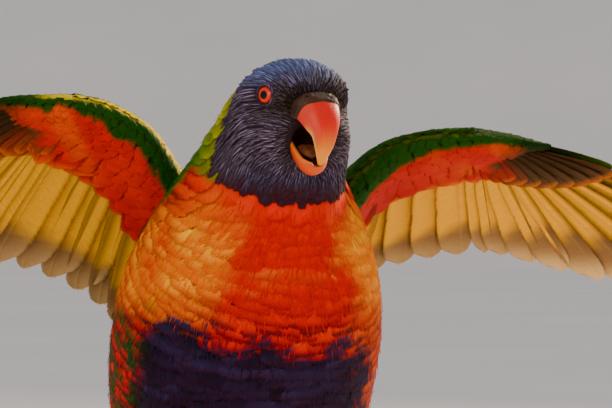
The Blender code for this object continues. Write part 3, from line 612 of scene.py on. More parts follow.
def hollow_mouth(p):
    """Pushes points inside the egg of the mouth back to its far wall."""
    x, y, c, s = p[..., 0], p[..., 1] - TURN_Y, math.cos(HEAD_TURN), math.sin(HEAD_TURN)
    left, forward = x * c + y * s, FACE_Y - TURN_Y + x * s - y * c
    up = (p[..., 2] - MOUTH_CENTRE[2]) / MOUTH_SIZE[2]
    room = 1 - (left / MOUTH_SIZE[1]) ** 2 - up**2
    wall = MOUTH_CENTRE[0] - MOUTH_SIZE[0] * np.sqrt(np.clip(room, 0, 1))
    inside = (room > 0) & (forward > wall)
    pushed = head_place(np.where(inside, wall, forward), left, p[..., 2])
    return np.where(inside[..., None], pushed, p), smooth(0, 0.25, room) * (p[..., 1] < -36)


# %% Make the skin
SKIN_ROWS, SKIN_SIDES, CAP_ROWS, SKIN_GAP = 190, 128, 16, 0.15


def make_skin():
    """Rings from the face to the tail, with a ring of shrinking ovals closing each end."""
    place, around = rings(SKIN_ROWS, SKIN_SIDES, LAST_SECTION)
    body = body_surface(around, place, coat_depth(place) + SKIN_GAP)
    shares = np.linspace(0.03, 1, CAP_ROWS, endpoint=False)[:, None, None]
    front, rear = (end.mean(axis=1, keepdims=True) * (1 - shares) + end * shares
                   for end in (body[:1], body[-1:]))
    p, mouth = hollow_mouth(np.concatenate([front, body, rear[::-1]]))
    place = np.pad(place, ((CAP_ROWS, CAP_ROWS), (0, 0)), mode="edge")
    around = np.broadcast_to(around[:1], place.shape)
    base, tip, _ = coat_colours(around, place, p)
    in_hood = smooth(0.2, -0.2, place - hood_end(around))
    # In the mouth's hollow the skin is painted dark brown: its lining's colour darkened as painted
    # shade.
    tint = layers(base, (tip, 0.3), (hood_colours(p)[0], in_hood), (paint(46, 20, 18), mouth))
    bake = unwrap(around / CIRCLE, np.linspace(0, 1, len(p))[:, None])
    make_piece("skin", p, tube_faces(len(p), SKIN_SIDES), DOWN,
               ("head", "neck", "torso"), tint, stack(around * 20, place * 8), bake)


make_skin()

# %% [markdown]
# ## Laying feathers on a surface
#
# Each small feather is a closed leaf: six points across its upper face and two below, ring
# after ring from root to tip. Its root is a place on the skin. Its other points are found by
# stepping across and along the skin itself, so a feather hugs the body under it. Then it
# lifts off a little towards its tip, where it lies over the next ones.

# %% Feathers that follow a surface
SLOPE_STEP = 0.01


def slopes(surface, a, b):
    """The surface's point, its two slopes by small differences, and its unit normal."""
    p = surface(a, b)
    slope_a = (surface(a + SLOPE_STEP, b) - p) / SLOPE_STEP
    slope_b = (surface(a, b + SLOPE_STEP) - p) / SLOPE_STEP
    return p, slope_a, slope_b, unit(np.cross(slope_a, slope_b))


def lay(surface, a, b, across, along, yaw, out=1.0):
    """Points of feathers rooted at (a, b), their normals and their own a and b. Steps across
    and along in millimetres become steps of a and b by solving with the surface's two slopes
    at the root."""
    _, slope_a, slope_b, normal = slopes(surface, a, b)
    way = unit(slope_b)
    right = np.cross(way, normal * out)
    c, s = np.cos(yaw)[:, None], np.sin(yaw)[:, None]
    way, right = way * c + right * s, right * c - way * s
    way, right, slope_a, slope_b = (k[:, None, None] for k in (way, right, slope_a, slope_b))
    move = across[..., None] * right + along[..., None] * way
    aa, bb, ab = dot(slope_a, slope_a), dot(slope_b, slope_b), dot(slope_a, slope_b)
    ma, mb, det = dot(move, slope_a), dot(move, slope_b), aa * bb - ab**2
    a = a[:, None, None] + (ma * bb - mb * ab) / det
    b = b[:, None, None] + (mb * aa - ma * ab) / det
    p, _, _, n = slopes(surface, a, b)
    return p, n * out, a, b


# The places across and along, the width at each ring, and how many points are on top.
LEAF = (
    np.array((-1.0, -0.62, -0.2, 0.2, 0.62, 1.0, 0.5, -0.5)),
    np.array((0.0, 0.18, 0.4, 0.62, 0.8, 0.92, 1.0)),
    np.array((0.5, 0.86, 1.0, 1.0, 0.90, 0.72, 0.40)),
    6,
)
BLADE = (np.array((-1.0, -0.32, 0.0, 0.32, 1.0, 0.0)), np.array((0.0, 0.3, 0.62, 0.86, 1.0)),
         np.array((0.7, 1.0, 0.95, 0.66, 0.12)), 5)
WISP = (np.array((-1.0, 0.0, 1.0, 0.0)), np.array((0.0, 0.4, 0.8, 1.0)),
        np.array((0.5, 1.0, 0.6, 0.05)), 3)


def leaf_shape(count, length, width, lift, style, camber, thickness, ragged):
    """Across, along and height of every point of many leaves. The height grows with nearly
    the distance from the root, and falls with the square of the distance from the shaft.
    The last points of each ring are its underside."""
    u, v, w, tops = style
    v, w = v[:, None], w[:, None]
    length, width, lift = (np.broadcast_to(k, count)[:, None, None] for k in (length, width, lift))
    jitter = rng.normal(0, ragged, (count, len(v), len(u))) * v**3
    jitter[:, :, tops:] = jitter[:, :, tops // 2, None]
    height = lift * v**0.85 - camber * width * u**2 * w**2
    under = np.where(np.arange(len(u)) < tops, 0.0, thickness)
    return u * w * width / 2, (v + jitter) * length, height - under


def rim_of(u, v):
    """1 inside a leaf, falling to 0 at its sides and its tip."""
    inner = np.minimum((1 - np.abs(u)) / 0.36, (1 - v) / 0.2)
    return np.clip(np.where(v < 0.3, 1.0, inner), 0, 1)


def coat_piece(name, surface, a, b, length, width, lift, style, tint_of, flat,
               material=FEATHER, yaw=0.0, out=1.0, ragged=0.012, camber=0.035, thickness=0.1,
               sway=0.06):
    """One mesh of many feathers on a surface. `tint_of` gives the colours of the leaves'
    points from their across and along shares, their own a and b and their places. `flat` is
    the leaves' place on the flat layout."""
    count, u, v = len(a), style[0], style[1][:, None]
    across, along, height = leaf_shape(count, length, width, lift, style, camber, thickness, ragged)
    turn = yaw + rng.normal(0, sway, count)
    p, n, own_a, own_b = lay(surface, a, b, across, along, turn, out)
    loose = 1 + rng.normal(0, 0.12, count)[:, None, None] * v
    p = p + n * (height * loose)[..., None]
    u, v = (np.broadcast_to(k, p.shape[:3]) for k in (u, v))
    tint = np.concatenate([tint_of(u, v, own_a, own_b, p), rim_of(u, v)[..., None]], axis=-1)
    vane = stack(across, along + rng.uniform(0, 400, count)[:, None, None])
    bake = flat[:, None, None, :] * 0.97 + 0.015 + stack(u, v) * 0.0015
    faces = many(tube_faces(*p.shape[1:3]), count, p[0, ..., 0].size)
    make_piece(name, p, faces, material, (), tint, vane, bake)


# %% [markdown]
# ## Where the body's feathers grow
#
# Real feathers grow in staggered rows, like roof tiles. Rows follow one another down the body
# at an even distance on the skin. In each row the count comes from how far it is round the
# body there, and every second row is shifted by half a feather. A little noise breaks the
# pattern.


# %% Staggered roots on the body
def staggered_roots(first, last, row_gap, side_gap, scatter=0.04):
    """Angle and place of roots: rows at even steps of the side line's length, and in each
    row as many roots as the ring's length holds. Each gap is a list of places and of sizes."""
    fine = np.linspace(first, last, 400)
    reach = steps_along(body_surface(np.pi * 0.6, fine))
    gap = np.interp(fine, *row_gap)
    steps = np.concatenate([[0], np.cumsum(np.diff(reach) / gap[1:])])
    rows = np.interp(np.arange(0, steps[-1]), steps, fine)
    angles, places = [], []
    for i, row in enumerate(rows):
        ring = body_surface(np.linspace(0, CIRCLE, 60), row)
        length = np.linalg.norm(np.diff(ring, axis=0), axis=1).sum()
        count = max(int(length / np.interp(row, *side_gap)), 6)
        angles.append((np.arange(count) + 0.5 * (i % 2)) / count * CIRCLE)
        places.append(np.full(count, row))
    a, b = np.concatenate(angles), np.concatenate(places)
    b = b + rng.normal(0, scatter, len(b))
    return a + rng.normal(0, 0.012, len(a)), np.clip(b, 0.05, LAST_SECTION)


def flat_layout(a, b):
    """The skin's own unwrap: angle and place as shares."""
    return stack((a / CIRCLE) % 1, np.clip(b / LAST_SECTION, 0, 1))


EYE_PLACE, EYE_FORWARD, EYE_RADIUS = (6.4, 9.1, 147.6), math.radians(26.0), 3.5
EYE_CLEAR, EYE_STOP = 2.45, 2.6


def eye_frame(side):
    """The eye's middle, the way it looks, and two ways at right angles to that."""
    centre = head_place(EYE_PLACE[0], side * EYE_PLACE[1], EYE_PLACE[2])
    axis = unit(head_way(math.sin(EYE_FORWARD), side * math.cos(EYE_FORWARD), 0.0))
    level = unit(np.cross((0.0, 0.0, 1.0), axis))
    return centre, axis, level, np.cross(axis, level)


def from_eyes(p):
    """For each eye its axis, how far the points are ahead along it, and their way from it."""
    for side in (-1, 1):
        centre, axis, _, _ = eye_frame(side)
        ahead = (p - centre) @ axis
        yield axis, ahead, p - centre - ahead[:, None] * axis


def clear_of_eyes(p):
    """True where a root keeps off the eyes."""
    return np.all([(np.linalg.norm(flat, axis=1) > EYE_CLEAR) | (ahead < 0)
                   for _, ahead, flat in from_eyes(p)], axis=0)


def stop_at_eyes(p, way, length):
    """Shortens feathers so that none lies across an eye: where the line from the root meets
    the circle of that radius round the eye's axis, the feather ends there."""
    for axis, ahead, flat in from_eyes(p):
        toward = -dot(flat, unit(way - (way @ axis)[:, None] * axis))
        inside = toward**2 - dot(flat, flat) + EYE_STOP**2
        meets = (inside > 0) & (toward > 0) & (ahead > 0)
        end = np.minimum(length, toward - np.sqrt(np.maximum(inside, 0)))
        length = np.where(meets, end, length)
    return length


# %% [markdown]
# ## The hood
#
# The head's feathers are narrow and pointed, with a pale shaft on a dark blade, so the hood
# looks streaked. Each blade has six points round it and rises to a ridge in its middle. They
# are shortest by the bill and the eye and grow longer down the neck.


# %% Lay the hood
def brow_lift(p):
    """How much the feathers stand up round the eyes: a bell curve of the distance from a
    point above the right eye, and ahead of the left one."""
    rise, ahead = 0, head_way(2.5, 0.0, 0.0)
    for side in (-1, 1):
        centre, axis, _, up = eye_frame(side)
        peak = centre + 2.0 * axis + (2.0 * up + ahead if side > 0 else 3.2 * up - ahead)
        rise = rise + bell(np.linalg.norm(p - peak, axis=-1) / 4.4)
    return rise


def coat_surface(around, place):
    """The skin under the feathers, from the face down."""
    return body_surface(around, place, coat_depth(place))


def hood_surface(around, place):
    """The same under the hood, where no feather may reach past the face."""
    return body_surface(around, np.maximum(place, 0), coat_depth(place))


def make_hood():
    """Blades of the hood, from the bill down, and round leaves along its lower edge over
    the breast, so that the edge is not a row of spikes."""
    a, b = staggered_roots(0.10, 6.3, ([0, 1, 3, 6], [1.1, 1.4, 1.8, 2.1]),
                           ([0, 1, 3, 6], [0.50, 0.54, 0.60, 0.66]), 0.11)
    growth = smooth(0, 5.0, b)
    length = (3.2 + 3.8 * growth) * rng.uniform(0.8, 1.2, len(a))
    p, _, down, _ = slopes(hood_surface, a, b)
    step = np.linalg.norm(down, axis=-1)
    edge = hood_end(a) + 0.05 * np.sin(a * 19) + rng.normal(0, 0.045, len(a))
    length = stop_at_eyes(p, down, length)
    keep = (b + 0.8 * length / step < edge) & clear_of_eyes(p) & (length > 0.9)
    near = np.clip((edge - b) * step / 9, 0, 1)[keep]
    a, b, p, growth, length = (k[keep] for k in (a, b, p, growth, length))
    width = (0.9 + 0.5 * growth + 0.9 * (1 - near)) * rng.uniform(0.85, 1.15, len(a))
    lift = 0.55 + 0.25 * growth * near + 1.2 * brow_lift(p)
    dark, shaft = hood_colours(p)
    shaft = shaft * (noisy(0.15, 1.7, 0.36, len(a), 0.8) * (0.25 + 0.75 * near))[:, None]
    last = near < 0.74
    sorts = (("feathers", ~last, BLADE, 1.0, HEAD_FEATHER), ("edge", last, LEAF, 1.5, FEATHER))

    for name, k, style, wide, material in sorts:
        def tint_of(u, v, *_):
            """Dark blades: the shaft is a bell curve across, the worn tip a smooth mask."""
            middle = bell(u / 0.15) * smooth(0.0, 0.3, v) * (1 - 0.7 * smooth(0.6, 1.0, v))
            worn = 0.7 * smooth(0.5, 1.0, v) * smooth(0.95, 0.62, near[k])[:, None, None]
            return layers(dark[k, None, None], (shaft[k, None, None], middle), ("hood_tip", worn))

        coat_piece(f"hood_{name}", hood_surface, a[k], b[k], length[k], width[k] * wide, lift[k],
                   style, tint_of, flat_layout(a[k], b[k]), material,
                   camber=0.13 / wide, ragged=0.02, sway=0.11)


make_hood()

# %% [markdown]
# ## Breast, belly, flanks and back
#
# These feathers are broad and rounded. The breast is orange with yellow bases and fine dark
# rims that grow heavier lower down, the belly is violet blue, the flanks are barred green and
# red, and the back is green. Each feather takes its colours from where its points are.


# %% Lay the body's feathers
TRUNK_FIRST, TRUNK_LAST, FRONT_FROM = 2.6, 17.4, 78


def trunk_tint(luck, bright, barred):
    """A function that colours leaf points: from base to tip colour along the leaf, with a
    dark rim at the tip, all times the feather's own brightness."""
    def tint_of(u, v, own_a, own_b, p):
        """The base colour, under the tip colour and the rim, each a smooth mask."""
        base, tip, bar = coat_colours(own_a, np.clip(own_b, 0, LAST_SECTION), p, luck)
        toward_tip = smooth(0.68, 0.94, v + 0.14 * np.abs(u)) * barred + 0.7 * (1 - barred)
        rim = smooth(0.79, 0.92, v + 0.08 * u * u) * bar * barred
        return layers(base, (tip, toward_tip), ("bar", 0.9 * rim)) * (1 + bright)[..., None]

    return tint_of


def make_trunk(kind, gaps, below, lay_sort):
    """Roots below the hood's edge, split into those of the front and those of the back. Each
    half is laid as one piece."""
    a, b = staggered_roots(TRUNK_FIRST, TRUNK_LAST, *gaps)
    keep = b > hood_end(a) + below
    a, b = a[keep], b[keep]
    front = turn_from_back(a) > FRONT_FROM
    for name, k in (("breast", front), ("back", ~front)):
        x, y = a[k], b[k]
        ruff = smooth(7.5, 5.5, y) * smooth(100, 80, turn_from_back(x))
        lay_sort(f"{name}_{kind}", x, y, ruff)


def lay_leaves(name, x, y, ruff):
    """Broad leaves, a little longer at random and raised in a ruff at the neck."""
    luck = noisy(-1.5, 1.5, 0.6, len(x))[:, None, None]
    size = 0.62 + 0.38 * smooth(3.0, 8.0, y)
    coat_piece(name, coat_surface, x, y, (11.8 + rng.normal(0, 0.5, len(x))) * size, 12.4 * size,
               0.38 * size + 1.1 * ruff, LEAF, trunk_tint(luck, 0.08 * luck, 1.0),
               flat_layout(x, y), camber=0.012, thickness=0.06)


def lay_wisps(name, x, y, ruff):
    """Loose barbs over the leaves: thin blades that lie the same way. They break up the
    leaves' outlines and give the coat its silk."""
    size = 0.6 + 0.4 * smooth(3.0, 8.0, y)
    luck = noisy(-1.5, 1.5, 0.5, len(x))[:, None, None]
    bright = rng.normal(0.0, 0.07, len(x))[:, None, None]
    coat_piece(name, coat_surface, x, y, (5.2 + rng.normal(0, 0.8, len(x))) * size, 0.29,
               rng.uniform(0.55, 0.9, len(x)) * size + 1.0 * ruff, WISP,
               trunk_tint(luck, bright, 0.0), flat_layout(x, y), DOWN,
               camber=0.1, sway=0.14, thickness=0.08)


LEAF_PLACES = [3, 6, 9, 14, 17]
LEAF_GAPS = (LEAF_PLACES, [2.3, 3.0, 3.7, 3.7, 2.8]), (LEAF_PLACES, [3.0, 3.9, 5.0, 5.0, 3.8])
WISP_GAPS = ([3, 17], [2.9, 2.9]), ([3, 17], [2.3, 2.3])
make_trunk("feathers", LEAF_GAPS, -0.55, lay_leaves)
make_trunk("wisps", WISP_GAPS, 0.1, lay_wisps)

# %% [markdown]
# ## The wings' frame
#
# Each wing hangs on a leading edge, from the shoulder over the wrist to the end of the hand.
# At every step along it a way across the wing, an upper way, a depth and a thickness are
# known. Both the small coverts and the long flight feathers are placed from these.

# %% The wings' sizes, the same as in the solids
WINGS = {
    "right": {
        "side": -1,
        "edge": ((-9, -9, 109), (-18, 1, 125), (-29, -6, 138), (-41, -10, 144.6), (-52, -13, 147)),
        "hand_end": (-76, -8, 146.6),
        "arm_ways": ((0.10, 0.76, -0.64), (-0.02, 0.78, -0.62), (-0.27, 0.76, -0.59)),
        "hand_ways": ((-0.27, 0.76, -0.59), (-0.68, 0.60, -0.42), (-0.92, 0.37, -0.13)),
    },
    "left": {
        "side": 1,
        "edge": ((12, 7, 107), (25.5, -1, 122), (36.5, -5, 133.6), (48.5, -8, 137.4),
                 (60.5, -9, 138.2)),
        "hand_end": (84.7, -2, 135.3),
        "arm_ways": ((-0.06, 0.87, -0.49), (0.11, 0.87, -0.48), (0.35, 0.83, -0.44)),
        "hand_ways": ((0.35, 0.83, -0.44), (0.70, 0.60, -0.38), (0.895, 0.385, -0.22)),
    },
}
WINGS = {word: {key: np.array(k) for key, k in wing.items()} for word, wing in WINGS.items()}
ARM_FEATHERS, HAND_FEATHERS = 10, 10
ARM_LENGTHS, HAND_LENGTHS = (34, 50, 55, 58, 61), (62, 71, 85, 101, 112, 108)
ARM_DEPTHS, ARM_THICKNESSES = (30, 28, 23, 16, 12), (15, 13, 10, 8, 7)
HAND_DEPTHS, HAND_THICKNESSES = (12, 9.5, 6), (7, 5.6, 3.6)
ROOT_DEPTH, FEATHER_DROOP = 0.62, 0.05
FLIGHT_ROLL, COVERT_ROLL = math.radians(11.0), math.radians(5.0)
GREATER_LIFT, GREATER_LIFT_ARM, GREATER_BACK = 0.30, 0.2, 3.5
PROFILE = np.array(((0, 0), (0.08, 0.21), (0.16, 0.34), (0.3, 0.45), (0.5, 0.5), (0.8, 0.47),
                    (1.1, 0.41), (1.7, 0.33), (2.5, 0.2)))
NOSE, UNDER_FLATNESS = 2.5, 0.86


def along_wing(arm_keys, hand_keys, t):
    """A size at t: the curve through the arm's keys as far as the wrist, then the hand's."""
    arm, hand = np.clip(t, 0, 1), np.clip(t - 1, 0, 1)
    return np.where(t <= 1, curve_through(arm_keys, arm), curve_through(hand_keys, hand))


def wing_lines(wing, t):
    """Place, chord, feather way, upper way, depth and thickness at t from 0 (shoulder)
    through 1 (wrist) to 2 (end of the hand), each an array like t."""
    t = np.asarray(t, float)
    arm, hand, edge, side = np.clip(t, 0, 1), np.clip(t - 1, 0, 1), wing["edge"], wing["side"]
    line = wing["hand_end"] - edge[-1]
    place = curve_through(edge, arm) + np.clip(t - 1, 0, 2)[..., None] * line
    arm_up = unit(side * np.cross(unit(edge[3] - edge[1]), unit(wing["arm_ways"][1])))
    hand_up = unit(side * np.cross(unit(line), unit(wing["hand_ways"][0])))
    upper = unit(arm_up + (hand_up - arm_up) * np.clip((t - 0.6) / 0.8, 0, 1)[..., None])
    arm_way = unit(curve_through(wing["arm_ways"], arm))
    way = np.where((t <= 1)[..., None], arm_way, unit(curve_through(wing["hand_ways"], hand)))
    square = unit(arm_way - unit(line) * (arm_way @ unit(line))[..., None])
    chord = unit(arm_way + (square - arm_way) * np.clip((t - 1) * 2, 0, 1)[..., None])
    return (place, chord, way, upper, along_wing(ARM_DEPTHS, HAND_DEPTHS, t),
            along_wing(ARM_THICKNESSES, HAND_THICKNESSES, t))


def end_taper(t):
    """The wing's flesh thins out towards the end of the hand."""
    return 1 - 0.7 * smooth(1.55, 2.0, t)


def covert_surface(wing, t, s, face):
    """The face of the wing's small feathers. s is the way back from the leading edge in mm.
    The depth s^2/(s+nose) and the height's curve make a round nose that runs on to the
    other face where s is negative."""
    t, s = np.broadcast_arrays(np.asarray(t, float), np.asarray(s, float))
    place, chord, way, upper, depth, thick = wing_lines(wing, t)
    b = s**2 / (np.abs(s) + NOSE)
    flat = np.minimum(b, depth)
    share = np.interp(np.abs(s) / depth, *PROFILE.T)
    rise = np.sign(s) * face * share * thick * np.where(s * face > 0, 1.0, UNDER_FLATNESS)
    p = place + chord * flat[..., None] + way * (b - flat)[..., None]
    return p + upper * (rise * end_taper(t))[..., None]


# %% [markdown]
# ## Flight feathers
#
# Ten feathers stand on the arm and ten on the hand. Each is a closed sheet with a shaft nearer
# its leading edge, raised above and below. The sheet bows a little and its tip is round. The
# feathers are rolled like the slats of a blind, so that each lies over the next.

# %% Long feathers as closed sheets
ACROSS = np.array((-1.0, -0.8, -0.6, -0.46, -0.39, -0.35, -0.31, -0.24, 0.0, 0.35, 0.7, 1.0))
SHAFT = -0.35
# Each form has the rows along the feather, and the places and half widths of its outline.
FLIGHT_FORM = (np.concatenate([np.linspace(0, 0.8, 14), np.linspace(0.845, 1.0, 9)]),
               (0, 0.1, 0.35, 0.72, 0.84, 0.91, 0.96, 1.0),
               (0.55, 0.72, 1.0, 1.0, 0.93, 0.82, 0.64, 0.26))
COVERT_FORM = (np.concatenate([np.linspace(0, 0.7, 7), np.linspace(0.8, 1.0, 5)]),
               (0, 0.2, 0.5, 0.75, 0.88, 0.95, 1.0), (0.7, 0.9, 1.0, 0.99, 0.86, 0.66, 0.25))


def long_feathers(root, way, upper, length, widths, form, roll, lead, droop=0.0, bow=0.16):
    """Top and bottom points of feathers. The middle line leaves the root straight and sinks
    with the square of the distance. The width follows the form. The height is a bow of the
    square of the distance from the shaft, plus a narrow ridge on the shaft. With the points
    come how far across and along each one is, in mm and as shares."""
    u, q = (ACROSS if lead < 0 else -ACROSS[::-1]), form[0][:, None]
    way = unit(way)
    upper = unit(upper - way * dot(way, upper)[..., None])
    side = np.cross(way, upper)
    rolled = side * math.cos(roll) + upper * math.sin(roll)
    up = upper * math.cos(roll) - side * math.sin(roll)
    inner, outer, reach = (k[:, None, None] for k in (*widths.T, np.asarray(length, float)))
    half = np.interp(q, *form[1:]) * (inner + (outer - inner) * q)
    along = reach * (q - 0.035 * (u - SHAFT * -lead) ** 2 * smooth(0.7, 1.0, q))
    sink = droop * reach * q**2
    ridge = bell((u + SHAFT * lead) / 0.055) * (1 - 0.85 * q)
    height = -bow * half * (u + 0.35 * SHAFT * lead) ** 2
    thick = 0.14 * (1.3 - np.abs(u))
    root, way, upper, rolled, up = (k[:, None, None] for k in (root, way, upper, rolled, up))
    middle = root + way * along[..., None] - upper * sink[..., None]
    middle = middle + rolled * (half * u)[..., None]
    top = middle + up * (height + thick + 0.25 * ridge)[..., None]
    bottom = middle + up * (height - thick - 0.55 * ridge)[..., None]
    maps = (np.broadcast_to(k, top.shape[:3]) for k in (half * u, along, u * -lead, q))
    return (np.stack([top, bottom], axis=1), *maps)


def long_rim(u, q):
    """1 inside a long feather, falling to 0 close to its sides and its tip."""
    return np.clip(np.minimum((1 - np.abs(u)) / 0.2, (1 - q) / 0.05) + 0.25 * (q < 0.5), 0, 1)


def both(top, bottom=None):
    """The values of a sheet's top and of its bottom, which may be the same."""
    return np.stack([top, top if bottom is None else bottom], axis=1)


def sheet_piece(name, parts, tints, nodes):
    """One mesh of many closed sheets. Each sheet has its own cell of the flat map, with its
    top below and its bottom above."""
    faces, vane, bake, colours, first, cell = [], [], [], [], 0, 0
    total = sum(len(p[0]) for p in parts)
    for (grid, across, along, u, q), tint in zip(parts, tints):
        count, _, rows, cols, _ = grid.shape
        faces.append(many(sheet_faces(rows, cols), count, 2 * rows * cols)[0] + first)
        vane.append(both(stack(across, along + rng.uniform(0, 300, (count, 1, 1)))))
        column = (cell + np.arange(count))[:, None, None, None]
        x = (column + 0.06 + 0.88 * np.linspace(0, 1, cols)) / total
        y = 0.02 + 0.46 * np.linspace(0, 1, rows)[:, None] + 0.5 * np.arange(2)[:, None, None]
        bake.append(stack(x, y))
        colours.append(np.concatenate([tint, both(long_rim(u, q))[..., None]], axis=-1))
        first, cell = first + 2 * count * rows * cols, cell + count
    points, vane, bake, tint = (
        np.concatenate([k.reshape(-1, k.shape[-1]) for k in rows])
        for rows in ([p[0] for p in parts], vane, bake, colours))
    make_piece(name, points, faces, FLIGHT, nodes, tint, vane, bake)


def flight_roots(wing):
    """Root, way, upper way, length, thickness and half widths of the flights, in to out.
    The width follows the gap to the next feather at the root and at the tip."""
    t = np.concatenate([(np.arange(ARM_FEATHERS) + 0.6) / ARM_FEATHERS,
                        1 + (np.arange(HAND_FEATHERS) + 0.25) / (HAND_FEATHERS - 0.75)])
    place, chord, way, upper, depth, thick = wing_lines(wing, t)
    length = along_wing(ARM_LENGTHS, HAND_LENGTHS, t)
    root = place + chord * (depth * ROOT_DEPTH)[:, None]
    near = np.append(np.arange(1, len(t)), len(t) - 2)
    gap = np.linalg.norm(root[near] - root, axis=1)
    reach = np.minimum(length, length[near])[:, None]
    tips = np.linalg.norm(root[near] + way[near] * reach - root - way * reach, axis=1)
    widths = stack(np.maximum(2.2, 0.85 * gap), np.clip(0.72 * tips, 3.6, 6.8))
    return t, root, way, upper, length, thick, widths


def flight_tint(t, u, q):
    """Colours of a flight feather above and below. Above, the leading web is green and the
    other dark. Below, a yellow band crosses the trailing webs and the tips are brown, with a
    painted pale glow at their ends, stronger on the hand."""
    t = t[:, None, None]
    lead, hand = smooth(0.5, -0.1, u), smooth(0.9, 1.3, t)
    green = blend("green", "green_dark", smooth(1.1, 1.9, t) * 0.6 + 0.25 * q)
    top = blend(paint(40, 37, 34), green, lead * (1 - 0.85 * smooth(0.75, 1.0, q) * (t > 1)))
    start = 0.12 - 0.06 * hand
    end = 0.74 - 0.08 * hand - 0.16 * smooth(1.5, 2.0, t) - 0.3 * smooth(0.3, 0.0, t)
    band = smooth(start - 0.06, start + 0.06, q) * smooth(end + 0.06, end - 0.06, q - 0.05 * u)
    band = band * (1 - 0.65 * smooth(-0.55, -0.9, u)) * (1 - 0.9 * smooth(1.75, 1.95, t))
    shaft = bell((u - SHAFT) / 0.06)
    under = layers("brown", ("brown_light", smooth(0.5, 0.8, q) * 0.5 + 0.15 * u),
                   # pale cream at the tips below: painted glow of light through the feathers
                   (paint(228, 188, 124), smooth(0.78, 0.98, q) * (0.35 + 0.5 * hand)),
                   (PALETTE["yellow"] * (0.94, 0.86, 1.0), band), ("brown_light", 0.3 * shaft))
    return both(blend(top, PALETTE["brown"] * 0.3, 0.7 * shaft), under)


def covert_colours(t, share, p, face):
    """Base, tip and rim of a wing covert. Above they are green, with a painted yellow highlight
    along the leading edge, strong on the right wing and faint on the left. Below, a dark green
    edge, then red to orange with dark scallops by the wrist, the red painted darker on the left
    wing as painted shade. Where share is negative the point lies past the nose, on the other face."""
    fine, patch, left = ripple(p, 6.0, 31), ripple(p, 17.0, 33), p[..., 0] > 0
    above, share = smooth(-0.012, 0.012, share * face), np.abs(share)
    # The yellow line along the leading edge is a painted highlight: strong above on the right wing,
    # faint on the left wing.
    edge = smooth(0.055, 0.0, share + 0.015 * fine) * smooth(1.4, 1.0, t)
    bright = smooth(0.13, 0.06, share + 0.015 * fine) * smooth(1.5, 1.2, t) * above
    edge = np.where(left, 0.1 * edge, bright)
    green = blend("green", "green_light", 0.35 + 0.3 * fine)
    green = blend("green_dark", green, 0.25 + 0.75 * smooth(0.03, 0.3, share))
    top = blend(green, PALETTE["yellow"] * (0.9, 1.3, 1.0), 0.9 * edge)
    top_base = blend("green_dark", top, 0.35 + 0.65 * edge)
    orange = smooth(0.55, 0.9, t) * smooth(0.0, 1.1, fine + patch) * 0.25
    # The red is painted darker on the left wing than on the right: painted shade.
    red = layers("red", ("red_orange", np.clip(0.5 + 0.5 * patch + 0.3 * fine, 0, 1)),
                 ("orange", orange)) * np.where(left, 0.76, 0.95)[..., None]
    spot = smooth(0.3, 0.7, ripple(p, 13.0, 35)) * smooth(0.3, 0.6, t)
    rim = smooth(0.36, 0.24, share + 0.07 * fine + 0.12 * smooth(0.5, 1.2, t) - 0.2 * spot)
    hand = smooth(1.35, 1.85, t + 0.15 * fine + 0.4 * smooth(0.84, 0.94, share))
    low = layers(red, (blend("green", "green_dark", 0.55), rim),
                 (blend("brown", "green_dark", smooth(0.7, 0.2, share)), hand))
    scallop = smooth(0.35, 0.65, ripple(p, 5.0, 37)) * smooth(0.5, 0.9, t)
    scallop = scallop * smooth(0.75, 0.5, share)
    bar = (0.04 + 0.85 * scallop * (1 - rim)) * (1 - above) + 0.12 * above
    low_base = blend(low, PALETTE["brown"] * 0.7, 0.15)
    return blend(low_base, top_base, above), blend(low, top, above), bar


# %% Make the wings
TIERS, WING_ROWS, WING_SIDES = 14, 60, 28


def wing_skin(word, wing):
    """The flesh under the coverts: a rounded blade from the shoulder to the hand's end."""
    t, angle = rings(WING_ROWS, WING_SIDES, 2)
    place, chord, way, upper, depth, thick = wing_lines(wing, t)
    x, s = (1 - np.cos(angle)) / 2, np.sin(angle)
    rise = 0.41 * signed_power(s, 0.8) * (1 - 0.45 * x)
    p = place + chord * (0.4 + x * depth * 1.02)[..., None]
    p = p + upper * (rise * thick * end_taper(t))[..., None]
    above, below = (covert_colours(t, x, p, face)[1] for face in (1, -1))
    tint = np.where((s > 0)[..., None], above, below)
    faces = tube_faces(WING_ROWS, WING_SIDES)
    make_piece(f"wing_skin_{word}", p, outward(faces) if wing["side"] > 0 else faces, DOWN,
               (f"wing_{word}",), tint, stack(angle * 9, t * 60),
               stack(angle / 6.4 + 0.01, t / 2.1 + 0.02))


def covert_roots(wing, face):
    """Rows from the leading edge back, with a gap between roots that grows with each row."""
    line = np.linspace(0.02, 1.97, 300)
    length = steps_along(wing_lines(wing, line)[0])
    rows, steps = [], []
    for tier in range(TIERS):
        share = (tier + 0.3) / TIERS
        gap = 1.9 + 2.7 * share
        found = np.interp(np.arange(gap * 0.5 * (tier % 2), length[-1], gap), length, line)
        steps.append(found)
        rows.append(np.full(len(found), share - (0.07 if face < 0 else 0.05)))
    t, share = np.concatenate(steps), np.concatenate(rows)
    t = np.clip(t + rng.normal(0, 0.012, len(t)), 0.0, 1.99)
    return t, share + rng.normal(0, 0.008, len(t))


